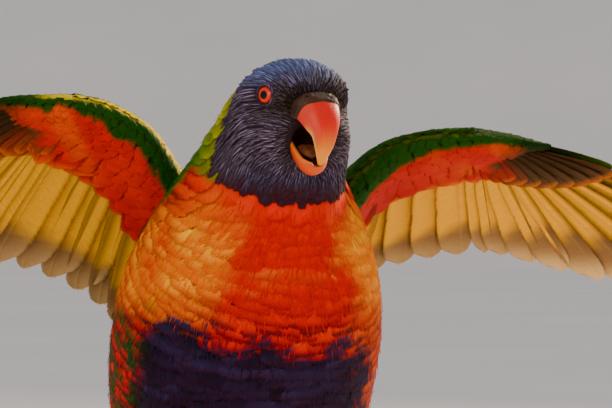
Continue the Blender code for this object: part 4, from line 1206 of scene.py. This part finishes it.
def wing_coverts(word, wing, face):
    """Small coverts, longer with each row, turned most of the way to the flights' way."""
    t, share = covert_roots(wing, face)
    _, chord, way, _, depth, _ = wing_lines(wing, t)
    s, out = share * (depth + NOSE), wing["side"] * face

    def surface(x, y):
        """This face, with t kept on the wing."""
        return covert_surface(wing, np.clip(x, 0, 2), y, face)

    _, _, slope_b, normal = slopes(surface, t, s)
    back = unit(slope_b)
    lean = way * 0.75 + chord * 0.25
    yaw = np.arctan2(dot(lean, np.cross(back, normal * out)), dot(lean, back)) * 0.85
    room = np.clip(depth / 26, 0.35, 1)
    growth = np.clip(share, 0, 1)
    length = (3.6 + 9.4 * growth**1.2) * (0.45 + 0.55 * room) * (1 + 1.3 * smooth(1.6, 2.0, t))
    width = (2.9 + 4.9 * growth) * (0.6 + 0.4 * room)
    luck = noisy(-1.2, 1.2, 0.5, len(t))[:, None, None]

    def tint_of(u, v, own_t, own_s, p):
        """From base to tip colour along the leaf, with a dark rim, times its luck."""
        own_t = np.clip(own_t, 0, 2)
        own_share = own_s / (along_wing(ARM_DEPTHS, HAND_DEPTHS, own_t) + NOSE)
        base, tip, bar = covert_colours(own_t, own_share + 0.03 * luck, p, face)
        rim = smooth(0.8, 1.0, v + 0.12 * u * u) * bar
        body = layers(base, (tip, smooth(0.1, 0.6, v)), (PALETTE["green_dark"] * 0.5, rim))
        return body * (1 + 0.12 * luck)[..., None]

    coat_piece(f"wing_coverts_{'upper' if face > 0 else 'under'}_{word}", surface, t, s, length,
               width, 0.25 + 0.55 * growth, LEAF, tint_of, stack(t / 2, share),
               yaw=yaw, out=out)


def wing_flights(word, wing):
    """Twenty flight feathers, and one greater covert over each root above and below."""
    side = wing["side"]
    t, root, way, upper, length, thick, widths = flight_roots(wing)
    made = long_feathers(root, way, upper, length, widths, FLIGHT_FORM, -side * FLIGHT_ROLL,
                         side, FEATHER_DROOP)
    parts, tints, hand = [made], [flight_tint(t, *made[3:])], t > 1
    back = np.where(hand, 0.4 * GREATER_BACK, GREATER_BACK)[:, None]
    reach = np.where(hand, 0.25, 0.36) * length
    lift = (np.where(hand, GREATER_LIFT, GREATER_LIFT_ARM) * thick)[:, None]
    spread = stack(widths[:, 0] * 1.2, 0.75 * widths[:, 0] + 0.45 * widths[:, 1])
    for face in (1, -1):
        start = root + upper * (face * lift) - way * back
        cover = long_feathers(start, way, upper, reach, spread, COVERT_FORM,
                              -side * COVERT_ROLL, side, FEATHER_DROOP * 0.4, 0.1)
        u, v = cover[3:]
        base, tip, _ = covert_colours(t, np.full(len(t), 0.95), start, face)
        base, tip = base[:, None, None], tip[:, None, None]
        tint = blend(base * 0.5, tip, smooth(0.2, 0.9, v - 0.15 * np.abs(u)))
        last = PALETTE["green_dark"] * 0.6 if face > 0 else "orange"
        tint = layers(tint, (tint * 0.45, 0.8 * bell((u - SHAFT) / 0.07)),
                      (last, smooth(0.84, 1.0, v) * (0.3 if face > 0 else 0.5)))
        parts.append(cover)
        tints.append(both(tint))
    sheet_piece(f"wing_flights_{word}", parts, tints, (f"wing_{word}",))


for word, wing in WINGS.items():
    wing_skin(word, wing)
    wing_flights(word, wing)
    wing_coverts(word, wing, 1)
    wing_coverts(word, wing, -1)

# %% [markdown]
# ## The tail
#
# Twelve feathers in six pairs, each pair shorter and lower than the one over it. They are
# green above. Below they are dull yellow, which the bird shows when it flies. Short coverts
# hide their roots above and below.

# %% Make the tail
TAIL_ROOT, TAIL_PITCH, TAIL_STEP = np.array((0.0, 57.0, 32.5)), math.radians(-15.0), 0.95
TAIL_LENGTHS, TAIL_ANGLES = (116, 106, 97, 89, 82, 75), (1.6, 4.6, 7.6, 10.6, 13.6, 16.8)
TAIL_COVERTS = (38, 33, 27, 20)
TAIL_AHEAD = np.array((0.0, math.cos(TAIL_PITCH), math.sin(TAIL_PITCH)))
TAIL_UP = np.array((0.0, -math.sin(TAIL_PITCH), math.cos(TAIL_PITCH)))
SIDEWAYS = np.array((1.0, 0, 0))


def tail_feathers(root, way, length, widths, form, side, bow=0.16):
    """Long feathers that lie in the tail's plane."""
    count = len(way)
    return long_feathers(root, way, np.broadcast_to(TAIL_UP, way.shape),
                         np.broadcast_to(length, count), np.tile(widths, (count, 1)), form, 0.0,
                         side, 0.0, bow)


def tail_ways(degrees):
    """Ways in the tail's plane, turned from its middle line by each angle."""
    turn = np.radians(degrees)[:, None]
    return TAIL_AHEAD * np.cos(turn) + SIDEWAYS * np.sin(turn)


def make_tail():
    """The fan, and four tiers of coverts on each face."""
    parts, tints, pair = [], [], np.arange(6)
    for side in (-1, 1):
        under = TAIL_STEP * (pair + np.where((side > 0) & (pair == 0), 0.5, 0.0))
        out = (side * (1.0 + 0.7 * pair))[:, None]
        root = TAIL_ROOT + SIDEWAYS * out - TAIL_UP * under[:, None]
        way = tail_ways(np.array(TAIL_ANGLES) * side)
        made = tail_feathers(root, way, TAIL_LENGTHS, (4.0, 6.2), FLIGHT_FORM, side)
        u, q = made[3:]
        inner = smooth(-0.3, 0.1, u) * smooth(0.0, 0.6, (pair / 5)[:, None, None])
        top = layers("green", ("green_light", 0.25 + 0.25 * q),
                     ("undertail", 0.8 * inner * smooth(0.3, 0.5, q)))
        low = blend(PALETTE["undertail"] * 0.8, PALETTE["brown_light"] * 0.8,
                    0.5 + 0.4 * (q < 0.5) - 0.4 * inner)
        parts.append(made)
        tints.append(both(top, low))
    for tier, reach in enumerate(TAIL_COVERTS):
        for face in (1, -1):
            k = np.linspace(-1.9, 1.9, 6 + tier % 2)
            way = unit(tail_ways(7.0 * k) - TAIL_UP * face * 0.05)
            height = 1.6 + 0.7 * tier if face > 0 else 5.6 + 0.6 * tier
            root = TAIL_ROOT + TAIL_AHEAD * (7.0 - 2.5 * tier) + SIDEWAYS * 3.6 * k[:, None]
            made = tail_feathers(root + TAIL_UP * face * height, way, reach, (3.4, 3.8),
                                 COVERT_FORM, 1, 0.1)
            colour, q = PALETTE["green" if face > 0 else "undertail"], made[4]
            tint = layers(colour * 0.6, (colour * 1.1, smooth(0.1, 0.7, q)),
                          ("green_dark", 0.5 * smooth(0.8, 1.0, q)))
            parts.append(made)
            tints.append(both(tint))
    sheet_piece("tail_feathers", parts, tints, ("tail",))


make_tail()

# %% [markdown]
# ## The bill
#
# The bill is one curved horn, flat sided, hooked, and hollow below. A ridge runs along its top.
# It is orange red, with thin growth lines along it, and wears to yellow at the tip. The pink of
# its flat sides is a painted sheen, its dark underside is painted shade, and a pale yellow line
# near each cutting edge is painted glow of light through the horn.

# %% Horn and skin finishes
def horn_finish(name, streak):
    """Tint times soft streaks along the horn, under a thin clear coat."""
    finish = Finish(name, roughness=0.4, coat_weight=0.06, coat_roughness=0.25,
                    specular_ior_level=0.18)
    across, along = finish.across_and_along()
    lines = finish.noise(finish.vector(across * streak, along * 0.35), 1.0, 4.0, 0.6)
    clouds = finish.noise(finish.place(), 260.0)
    finish.paint_with((lines - 0.5) * 0.35 + (clouds - 0.5) * 0.3 + 1.0)
    finish.surface(Roughness=clouds * 0.3 + 0.3)
    finish.bump(lines + clouds * 0.5, 0.35, 0.00025)
    return finish.material


def skin_finish(name, scale, roughness=0.5, depth=0.0003):
    """Bare skin or scales: Voronoi cells with dark creases between them."""
    finish = Finish(name, roughness=roughness, specular_ior_level=0.2)
    inputs = {"Vector": finish.place(), "Scale": scale}
    cells = finish.node("ShaderNodeTexVoronoi", {"feature": "DISTANCE_TO_EDGE"}, inputs)
    crease = finish.ramp(cells, (0.0, 0.35), (0.12, 0.9), (0.4, 1.0))
    clouds = finish.noise(finish.place(), scale * 0.4)
    finish.paint_with(crease * 0.55 + clouds * 0.6 + 0.15)
    finish.surface(Roughness=clouds * 0.3 + (roughness - 0.15))
    finish.bump(crease, 0.6, depth)
    return finish.material


HORN = horn_finish("bill_horn", 2.5)
CERE_SKIN = skin_finish("cere_skin", 900.0, 0.6, 0.00015)
SCALES = skin_finish("foot_scales", 620.0, 0.55)
LID_SKIN = skin_finish("lid_skin", 1300.0, 0.6, 0.0002)

# %% Make the upper bill and the cere
UPPER_BILL = np.array((
    (11.4, 148.2, 9.0, 139.8, 5.5), (15.6, 147.5, 12.2, 139.3, 5.6),
    (18.6, 145.3, 14.2, 138.4, 5.3), (20.6, 142.0, 15.8, 137.2, 4.5),
    (21.3, 138.4, 17.3, 136.0, 3.4), (20.5, 134.7, 17.5, 133.4, 2.5),
    (18.7, 131.6, 16.9, 131.2, 1.5), (16.8, 129.3, 15.9, 129.6, 0.5),
))
BILL_FULLNESS, HOLLOW, RIDGE = 3.0, 0.62, 0.175
BILL_ROWS, BILL_SIDES, CERE_ROWS, CERE_OF, CERE_SIDES = 90, 64, 50, 150, 120
CERE_POINT, CERE_NORMAL = np.array((17.5, 145.1)), np.array((0.70, -0.71))
NOSTRIL_ROW, NOSTRIL_COLUMN = 26, 9


def bill_surface(rows, sides, grow=0.0):
    """Points in head terms (forward, left, height): a superellipse round each key section,
    with the lower half drawn up between the cutting edges, and a low ridge on top."""
    q, around = rings(rows, sides)
    k = curve_through(UPPER_BILL, q)
    left, forward, height = np.moveaxis(oval(k, around, BILL_FULLNESS, -grow), -1, 0)
    axis = (k[..., :2] - k[..., 2:4]) / 2
    low = smooth(0.25, 0.9, -np.cos(around)) * smooth(0.95, 0.55, q)
    ridge = RIDGE * bell(turn_from_back(around) / 14) * (1 - q)
    forward = forward + axis[..., 0] * HOLLOW * low + ridge
    height = height + axis[..., 1] * HOLLOW * low + ridge
    return forward, left, height, q, around


def make_horn():
    """The horn: orange red, yellow at the tip, with painted pink sheen on its flat sides,
    painted shade inside, and a painted pale yellow glow near each cutting edge.
    """
    forward, left, height, q, around = bill_surface(BILL_ROWS, BILL_SIDES)
    side = np.abs(np.sin(around))
    tint = layers(
        paint(218, 18, 0),
        (paint(240, 150, 16), smooth(0.5, 0.92, q)),
        # pink on the flat sides: a painted sheen, not the horn's own colour
        (paint(218, 62, 42), 0.8 * smooth(0.42, 0.52, side) * smooth(0.8, 0.5, q)),
        # dark brown underside between the cutting edges: painted shade in the hollow
        (paint(70, 22, 12), 0.85 * smooth(0.35, 0.9, -np.cos(around)) * smooth(0.95, 0.6, q)),
        # pale yellow line near each cutting edge: painted glow of light through the horn
        (paint(255, 226, 104), bell((np.cos(around) + 0.40) / 0.34) * smooth(0.35, 0.6, q)),
    )
    make_piece("bill_upper", head_place(forward, left, height),
               outward(tube_faces(BILL_ROWS, BILL_SIDES)), HORN, ("upper_bill",),
               tint, stack(around * 4.0, q * 26.0), unwrap(around / CIRCLE, q))


def make_cere():
    """A soft saddle of skin over the horn's root. It stands up behind a slanted line, and
    each nostril is a ring round a pit, both bell curves of the distance."""
    grid = [k[:CERE_ROWS] for k in bill_surface(CERE_OF, CERE_SIDES, 0.02)]
    forward, left, height, q, around = grid
    ahead = (forward - CERE_POINT[0]) * CERE_NORMAL[0] + (height - CERE_POINT[1]) * CERE_NORMAL[1]
    raised = 0.45 * smooth(0.3, -0.5, ahead) - 0.6 * smooth(0.2, 0.9, ahead)
    one_side = stack(forward, np.abs(left), height)
    mark = one_side[NOSTRIL_ROW, NOSTRIL_COLUMN]
    print("nostril at", np.round(mark, 1), "mm ahead, to the side and up")
    nostril = np.linalg.norm(one_side - mark, axis=-1)
    swell = 0.35 * bell((nostril - 1.0) / 0.45) - 0.42 * bell(nostril / 0.55)
    p = stack(forward, left, height)
    grow = raised - 0.12 * bell(left / 1.2) + swell
    p = p + unit(p - p.mean(axis=1, keepdims=True)) * grow[..., None]
    tint = layers(mottled(paint(44, 29, 18), paint(78, 52, 32), p, 2.5, 41),
                  # rear of the cere: the lores' brown, standing in for the feather fringe and
                  # painted shade under it
                  ("lore", smooth(-2.4, -4.2, ahead)),
                  # the nostril's pit painted nearly black: painted shade in the opening
                  (paint(36, 14, 12), smooth(0.75, 0.3, nostril)),
                  (paint(96, 34, 24), 0.6 * bell((nostril - 0.95) / 0.3)))
    make_piece("cere_saddle", head_place(*np.moveaxis(p, -1, 0)),
               outward(tube_faces(CERE_ROWS, CERE_SIDES)), CERE_SKIN, ("cere",),
               tint, None, unwrap(around / CIRCLE, q * 2.5))


make_horn()
make_cere()

# %% [markdown]
# The lower bill is a scoop with a thin wall, shorter and blunter than the upper one. The tongue
# lies in it, thick and fleshy. A lorikeet's tongue ends in a brush for nectar.

# %% Make the lower bill and the tongue
LOWER_BILL = (
    (5.4, 131.6, 5.4, 137.0, 4.8), (8.4, 128.6, 8.4, 135.8, 5.0), (11.0, 126.8, 11.0, 133.6, 4.8),
    (13.2, 127.0, 13.2, 131.2, 3.8), (14.7, 128.7, 14.7, 129.9, 1.9),
)
TONGUE = ((5.6, 134.6, 5.6, 132.4, 1.9), (8.6, 134.9, 8.6, 132.0, 2.5),
          (11.0, 133.7, 10.6, 131.4, 2.1), (12.6, 131.9, 12.0, 130.9, 0.9))
LOWER_WALL = 0.9


def make_lower_bill(rows=44, cols=33):
    """A half round scoop: angle -90 to 90 degrees from rim over keel to rim, as an outer
    sheet and an inner one that is drawn in by the wall."""
    half_turn = np.linspace(-np.pi / 2, np.pi / 2, cols)
    q, a = np.meshgrid(np.linspace(0, 1, rows), half_turn, indexing="ij")
    k = curve_through(LOWER_BILL, q)
    sheets = []
    for thin in (0 * q, LOWER_WALL * (1 - 0.35 * q)):
        line = k[..., :2] + (k[..., 2:4] - k[..., :2]) * (1 - np.cos(a))[..., None]
        line = line + stack(-0.3 * thin, thin) * np.cos(a)[..., None]
        sheets.append(head_place(line[..., 0], (k[..., 4] - thin) * np.sin(a), line[..., 1]))
    rim = smooth(0.75, 1.0, np.abs(a) / (np.pi / 2))
    tint = blend(paint(214, 48, 0), paint(232, 128, 4), 0.3 * q + 0.5 * rim)
    # The scoop's inside is painted darker than its outside as painted shade, lighter towards the
    # rim.
    inner = blend(paint(110, 32, 10), paint(226, 104, 6), rim * 0.8)
    vane, flat = stack(a * 5, q * 16), unwrap(a / np.pi + 0.5, q * 0.48)
    make_piece("bill_lower", np.stack(sheets), sheet_faces(rows, cols), HORN,
               ("lower_bill",), np.stack([tint, inner]), np.stack([vane, vane]),
               np.stack([flat, flat + (0, 0.5)]))


def make_tongue(rows=40, sides=28):
    """Round rings with a groove on top, a bell curve of the distance from the middle."""
    q, a = rings(rows, sides)
    k = curve_through(TONGUE, q)
    k[..., 4] *= 1 - 0.5 * q**8
    p = oval(k, a, 2.2)
    groove = 0.3 * bell(p[..., 0] / 0.5) * (np.cos(a) > 0)
    p = head_place(p[..., 1], p[..., 0], p[..., 2] - groove)
    make_piece("tongue_flesh", p, outward(tube_faces(rows, sides)), CERE_SKIN,
               ("tongue",), mottled(paint(92, 44, 18), paint(132, 74, 30), p, 1.6, 51), None,
               unwrap(a / CIRCLE, q))


make_lower_bill()
make_tongue()

# %% [markdown]
# ## The eyes
#
# The eye is a wet ball, orange red round a black pupil, and only a small part of it shows. Two
# bare lids close in on it in a dark ring. The ring is widest across, with a corner in front.

# %% Make the eyes and the lids
def eye_finish():
    """Wet and clear on top, with fine rays in the tint."""
    finish = Finish("eye", roughness=0.4, specular_ior_level=0.05, coat_weight=0.35,
                    coat_roughness=0.03)
    across, along = finish.across_and_along()
    rays = finish.noise(finish.vector(across * 9.0, along * 0.6), 1.0)
    finish.paint_with(rays * 0.9 + 0.55)
    return finish.material


EYE = eye_finish()
LID_PROFILE = np.array((
    (3.9, -0.8), (3.75, 0.4), (3.45, 1.4), (3.1, 2.1), (2.8, 2.6), (2.58, 2.9), (2.4, 3.02),
    (2.22, 2.98), (2.18, 2.8), (2.3, 2.55), (2.6, 2.1), (2.9, 1.3), (3.1, 0.2), (3.3, -0.8),
))
EYE_ROWS, EYE_SIDES, POLE = 48, 64, 0.004
PUPIL_EDGE, IRIS_CHANGE, IRIS_EDGE = (18.5, 20.5), (20, 31), (35, 39)


def turn_from_front(side, phi):
    """How far an angle round the eye is from the way to the bill."""
    _, axis, level, up = eye_frame(side)
    ahead = head_way(1.0, 0, -0.25)
    return turn_from(phi, math.atan2(float(ahead @ up), float(ahead @ level)))


def front_ridge(side, phi, radius):
    """How much higher the lids stand towards the bill, more at the left eye: a bell curve of
    the angle from the front, fading to nothing at the outer edge."""
    height = (0.32 + 0.28 * side) * bell(turn_from_front(side, phi) / 0.9)
    return height * smooth(4.4, 2.7, radius)


def make_eye(word, side):
    """A ball turned about the way it looks, and the lids: a closed profile swept round it."""
    centre, axis, level, up = eye_frame(side)
    theta = np.linspace(POLE, np.pi - POLE, EYE_ROWS)[:, None]
    phi = np.arange(EYE_SIDES)[None] * CIRCLE / EYE_SIDES
    ring = np.cos(phi)[..., None] * level + np.sin(phi)[..., None] * up
    p = centre + EYE_RADIUS * (np.cos(theta)[..., None] * axis + np.sin(theta)[..., None] * ring)
    degrees = np.degrees(theta) + 0 * phi
    iris = blend(paint(226, 66, 4), paint(214, 10, 0), smooth(*IRIS_CHANGE, degrees))
    tint = layers(paint(4, 3, 4), (iris, smooth(*PUPIL_EDGE, degrees)),
                  (paint(30, 10, 8), smooth(*IRIS_EDGE, degrees)))
    make_piece(f"eyeball_{word}", p, outward(tube_faces(EYE_ROWS, EYE_SIDES)), EYE,
               (f"eye_{word}",), tint, stack(np.abs(phi - np.pi), degrees * 0.1),
               unwrap(phi / CIRCLE, degrees / 180))

    radius, height = LID_PROFILE[:, 0, None], LID_PROFILE[:, 1, None]
    corner = 0.16 * bell(turn_from_front(side, phi) / 0.35) - 0.03 * np.cos(2 * phi)
    r = radius * (1 + smooth(4.2, 2.3, radius) * corner)
    p = centre + (r * np.cos(phi))[..., None] * level + (r * np.sin(phi))[..., None] * up
    p = p + (height + front_ridge(side, phi, radius))[..., None] * axis
    tint = mottled(paint(26, 22, 26), paint(58, 52, 60), p, 1.2, 61)
    flat = unwrap(phi / CIRCLE, np.linspace(0, 1, len(radius))[:, None])
    closed = tube_faces(len(radius) + 1, EYE_SIDES)[:1]
    make_piece(f"lids_{word}", p, [closed[0] % r.size], LID_SKIN, (), tint, None, flat)


def make_eye_ring(word, side):
    """Three rings of tiny blades on the lids' outer slope, that lean back round the eye."""
    centre, axis, level, up = eye_frame(side)
    outer = np.concatenate([LID_PROFILE[6:1:-1], ((4.2, 0.9), (7.0, -0.5))])

    def ring_surface(phi, radius):
        """A skirt: the lids' outer slope, then on out over the head's feathers."""
        rise = np.interp(radius, outer[:, 0], outer[:, 1] + 0.1) + front_ridge(side, phi, radius)
        flat = np.cos(phi)[..., None] * level + np.sin(phi)[..., None] * up
        return centre + radius[..., None] * flat + rise[..., None] * axis

    counts, radii = (34, 38, 42), (2.5, 2.95, 3.4)
    phi = np.concatenate([(np.arange(n) + 0.5 * k) / n * CIRCLE for k, n in enumerate(counts)])
    radius = np.repeat(radii, counts) + rng.normal(0, 0.05, len(phi))
    root, _, outer_way, normal = slopes(ring_surface, phi, radius)
    turned = np.sign((normal @ axis).mean())
    outer_way = unit(outer_way)
    right, back = np.cross(outer_way, normal * turned), head_way(-1.0, 0.0, 0.1)
    yaw = np.clip(np.arctan2(right @ back, outer_way @ back), -1.35, 1.35)
    dark, shaft = hood_colours(root)
    shaft = shaft * noisy(0.1, 1.4, 0.3, len(phi), 0.6)[:, None]

    def tint_of(u, v, *_):
        """A pale line in the middle of a dark blade."""
        middle = (np.abs(u) < 0.1) * smooth(0.0, 0.4, v) * (1 - 0.6 * smooth(0.7, 1.0, v))
        return blend(dark[:, None, None], shaft[:, None, None], middle)

    coat_piece(f"eye_ring_{word}", ring_surface, phi, radius, rng.uniform(1.5, 2.3, len(phi)),
               0.62, 0.3, BLADE, tint_of, stack(phi / 6.4, radius / 8),
               HEAD_FEATHER, yaw=yaw, out=turned, camber=0.16, thickness=0.08)


for word, side in (("right", -1), ("left", 1)):
    make_eye(word, side)
    make_eye_ring(word, side)

# %% [markdown]
# ## Legs and feet
#
# Short green feathers cover the thigh down to the ankle. Below it the shank and toes are bare
# and grey, with wide scales in rows. Two toes point ahead and two back, as in every parrot.

# %% Make the legs
THIGH = ((15, 12, 50, 11, 13), (16.5, 12, 38, 8.8, 10.8), (17.5, 14, 29, 6.2, 7.4),
         (18, 16, 22.5, 4, 4.4))
THIGH_SINK, THIGH_TIERS = 1.2, 15
ANKLE, FOOT_MIDDLE, TOE_HEIGHT = (18, 16.6, 21.6), (18.5, 8, 3.6), 1.5
TOES = ((-14, 17, 1.9), (20, 23, 2.1), (150, 19, 2.0), (198, 12, 1.8))
CLAW_LENGTH, CLAW_ARCH, CLAW_DROP, LOWEST = 6.5, 1.7, 1.1, 0.05


def thigh_surface(side, around, q):
    """Ovals from the belly down to the ankle. The angle starts at the back."""
    around, q = np.broadcast_arrays(np.asarray(around, float), np.asarray(q, float))
    k = curve_through(THIGH, q)
    return stack(side * k[..., 0] + (k[..., 3] - THIGH_SINK) * np.sin(around),
                 k[..., 1] + (k[..., 4] - THIGH_SINK) * np.cos(around),
                 k[..., 2] - 8.0 * np.clip(q - 1, 0, 1))


def tube_points(path, radii, rows, sides, flat=1.0, scales=0.0):
    """Rings round a smooth path. Each ring stands across the path's own direction, and the
    radius swells and shrinks with an absolute sine for the scales."""
    t = np.linspace(0, 1, rows)
    p, r = curve_through(path, t), curve_through(radii, t)
    way = unit(np.gradient(p, axis=0))
    across = unit(np.cross(way, np.array((0.13, 0.21, 1.0))))
    up = np.cross(across, way)[:, None]
    a = (np.arange(sides) * CIRCLE / sides)[None, :, None]
    r = r * (1 + scales * np.abs(np.sin(steps_along(p) * 1.9)))
    return p[:, None] + (np.cos(a) * across[:, None] + flat * np.sin(a) * up) * r[:, None, None]


def make_tubes(name, tubes, material, nodes, dark, light):
    """Several closed tubes as one piece, each with its own strip of the flat map."""
    faces, bake, vane, first = [], [], [], 0
    for k, tube in enumerate(tubes):
        rows, sides = tube.shape[:2]
        faces += outward(tube_faces(rows, sides, first))
        u, v = np.meshgrid(np.linspace(0, 1, sides), np.linspace(0, 1, rows))
        strip = stack((k + 0.05 + 0.9 * u) / len(tubes), v * MAP_SIZE + MAP_EDGE)
        bake.append(strip.reshape(-1, 2))
        vane.append(stack(u * 10, v * 20).reshape(-1, 2))
        first += rows * sides
    p = np.concatenate([np.maximum(t, (-1e3, -1e3, LOWEST)).reshape(-1, 3) for t in tubes])
    tint = blend(dark, light, np.clip(0.5 + 0.5 * ripple(p, 3.0, 81), 0, 1))
    make_piece(name, p, faces, material, nodes, tint, np.concatenate(vane),
               np.concatenate(bake))


def make_thigh(word, side, rows=40, sides=32):
    """The thigh's skin, and leaves in rows that hold fewer as the thigh narrows."""
    q, a = rings(rows, sides)
    p = thigh_surface(side, a, q)
    make_piece(f"thigh_skin_{word}", p, tube_faces(rows, sides), DOWN,
               (f"thigh_{word}",), mottled("green", "green_light", p, 7.0, 71),
               stack(a * 8, q * 28), unwrap(a / CIRCLE, q))
    spots = [(row, i) for row in range(THIGH_TIERS) for i in range(int(22 - 0.85 * row))]
    row, i = np.array(spots, float).T
    around = (i + 0.5 * (row % 2)) / np.floor(22 - 0.85 * row) * CIRCLE
    place = np.clip(row / (THIGH_TIERS - 1) * 0.93, 0, 1)
    size = 1 - 0.5 * place
    patch = ripple(thigh_surface(side, around, place), 6.0, 71)
    green = blend("green", "green_light", np.clip(0.5 + 0.6 * patch, 0, 1))
    tip = blend(green, "collar", 0.4 * rng.random(len(row)) ** 2)

    def tint_of(u, v, *_):
        """From a darker base to the feather's own tip colour."""
        return blend((green * 0.6)[:, None, None], tip[:, None, None], smooth(0.2, 0.9, v))

    coat_piece(f"thigh_feathers_{word}", lambda x, y: thigh_surface(side, x, y), around, place,
               7.5 * size, 5.2 * size, 0.9 * size, LEAF, tint_of,
               stack((around / 6.3) % 1, place))


def make_foot(word, side):
    """The shank, four toes that swell at each joint, and a curved claw at the end of each:
    a half sine that also drops evenly."""
    middle, ankle = np.array(FOOT_MIDDLE) * (side, 1, 1), np.array(ANKLE) * (side, 1, 1)
    shank = [ankle + (0, 0, 0.6), ankle * 0.55 + middle * 0.45, middle + (0, 0, 2.5), middle]
    tubes, claws = [tube_points(shank, (2.8, 2.4, 2.9, 2.7), 46, 24, 1.0, 0.05)], []
    low = np.array((middle[0], middle[1], TOE_HEIGHT + 0.35))
    m = np.array((0.0, 0.3, 0.6, 0.85, 1.0))[:, None]
    for heading, length, radius in TOES:
        turn = math.radians(heading)
        way = np.array((side * math.sin(turn), -math.cos(turn), 0.0))
        path = [middle + way * 0.5] + [low + way * length * k for k in (0.34, 0.5, 0.68, 0.84, 1.0)]
        swell = radius * 0.98 * np.array((1.1, 1.0, 0.95, 0.78, 0.9, 0.62))
        tubes.append(tube_points(path, swell, 50, 22, 0.92, 0.07))
        rise = CLAW_ARCH * np.sin(np.pi * m) - CLAW_DROP * m
        arc = low + way * (length - 1.6) + way * CLAW_LENGTH * m + np.array((0, 0, 1.0)) * rise
        claws.append(tube_points(arc, (1.15, 0.95, 0.65, 0.35, 0.06), 26, 16))
    make_tubes(f"foot_scales_{word}", tubes, SCALES, (f"foot_{word}",), paint(88, 84, 84),
               paint(128, 120, 112))
    make_tubes(f"claws_{word}", claws, HORN, (), paint(28, 25, 26), paint(58, 52, 50))


for word, side in (("right", -1), ("left", 1)):
    make_thigh(word, side)
    make_foot(word, side)

# %% [markdown]
# ## Floor, light and camera
#
# The bird stands on a plain pale floor that curves up behind it. A large soft light from the
# front left shows the colours, and a warm light from behind the bird's left side edges it, as
# the low sun does in the photograph.

# %% Floor and backdrop
CAMERA_TURN = math.radians(-17.0)
FLOOR_FRONT, FLOOR_BACK, SWEEP, WALL_TOP, FLOOR_SIDE = -14.0, 6.8, 3.0, 9.0, 14.0


def make_floor():
    """A strip that is level round the bird and bends up as a quarter circle far behind it."""
    profile = [(FLOOR_FRONT, 0.0)]
    profile += [(FLOOR_BACK + SWEEP * math.sin(t), SWEEP * (1 - math.cos(t)))
                for t in np.linspace(0, math.pi / 2, 24)]
    profile += [(FLOOR_BACK + SWEEP, WALL_TOP)]
    y, z = np.array(profile).T[..., None]
    grid = stack(np.array((-FLOOR_SIDE, FLOOR_SIDE)), y, z)
    index = np.arange(len(y) - 1)[:, None] * 2 + np.array((0, 1, 3, 2))
    mesh = bpy.data.meshes.new("floor")
    mesh.from_pydata(grid.reshape(-1, 3).tolist(), [], index.tolist())
    mesh.polygons.foreach_set("use_smooth", np.ones(len(index), bool))
    finish = Finish("floor_paper", roughness=0.9)
    clouds = finish.noise(finish.place(), 3.0, 4.0)
    pale = finish.ramp(clouds, (0.3, paint(234, 230, 230)), (0.7, paint(240, 236, 234)))
    finish.surface(Base_Color=pale)
    mesh.materials.append(finish.material)
    floor = bpy.data.objects.new("floor", mesh)
    floor.rotation_euler = (0, 0, CAMERA_TURN)
    bpy.context.scene.collection.objects.link(floor)
    floor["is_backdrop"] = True


make_floor()


# %% Lights
def soft_light(name, place, size, power, colour):
    """A square area light that faces the breast."""
    light = bpy.data.lights.new(name, "AREA")
    light.size, light.energy, light.color = size, power, colour
    lamp = bpy.data.objects.new(name, light)
    way = np.array(place) - np.array(BREAST)
    lamp.location = place
    across = math.hypot(way[0], way[1])
    lamp.rotation_euler = (math.atan2(across, way[2]), 0, math.atan2(way[0], -way[1]))
    bpy.context.scene.collection.objects.link(lamp)


BREAST = (0.0, -0.08, 0.11)
soft_light("key", (-0.95, -1.3, 0.5), 0.8, 11.0, (1.0, 0.95, 0.88))
soft_light("rim", (0.97, 0.46, 0.60), 0.16, 34.0, (1.0, 0.80, 0.56))
world = bpy.data.worlds.new("studio")
world.use_nodes = True
colour, strength = world.node_tree.nodes["Background"].inputs[:2]
colour.default_value, strength.default_value = (0.92, 0.90, 0.90, 1.0), 0.68
bpy.context.scene.world = world


# %% Camera
FRAME_WIDTH, PIXEL_WIDTH, SCALE = 36.0, 612, 3.8
CAMERA_DISTANCE, NEAR_SIDE, AIM_RIGHT, AIM_UP = 1.35, 0.025, 14.7, 119.3


def make_camera():
    """A level long lens. Its width at the breast is the frame's width at 3.8 pixels a mm."""
    lens = bpy.data.cameras.new("camera")
    lens.sensor_width = FRAME_WIDTH
    lens.lens = FRAME_WIDTH * CAMERA_DISTANCE / (PIXEL_WIDTH / SCALE * MM)
    lens.clip_end = 20.0
    camera = bpy.data.objects.new("camera", lens)
    right = np.array((math.cos(CAMERA_TURN), math.sin(CAMERA_TURN), 0.0))
    toward = np.array((math.sin(CAMERA_TURN), -math.cos(CAMERA_TURN), 0.0))
    aim = (STANCE + right * AIM_RIGHT + (0, 0, AIM_UP)) * MM + toward * NEAR_SIDE
    camera.location = aim + toward * CAMERA_DISTANCE
    camera.rotation_euler = (math.pi / 2, 0, CAMERA_TURN)
    bpy.context.scene.collection.objects.link(camera)
    bpy.context.scene.camera = camera
    print("lens", round(lens.lens), "mm, camera at", np.round(camera.location, 3))


make_camera()

# %% Sizes of the solids and of the dressed bird
boxes = [[list(corner) for corner in box] for box in (cad_box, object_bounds())]
print("dressed box, m:", np.round(boxes[1], 4).tolist())
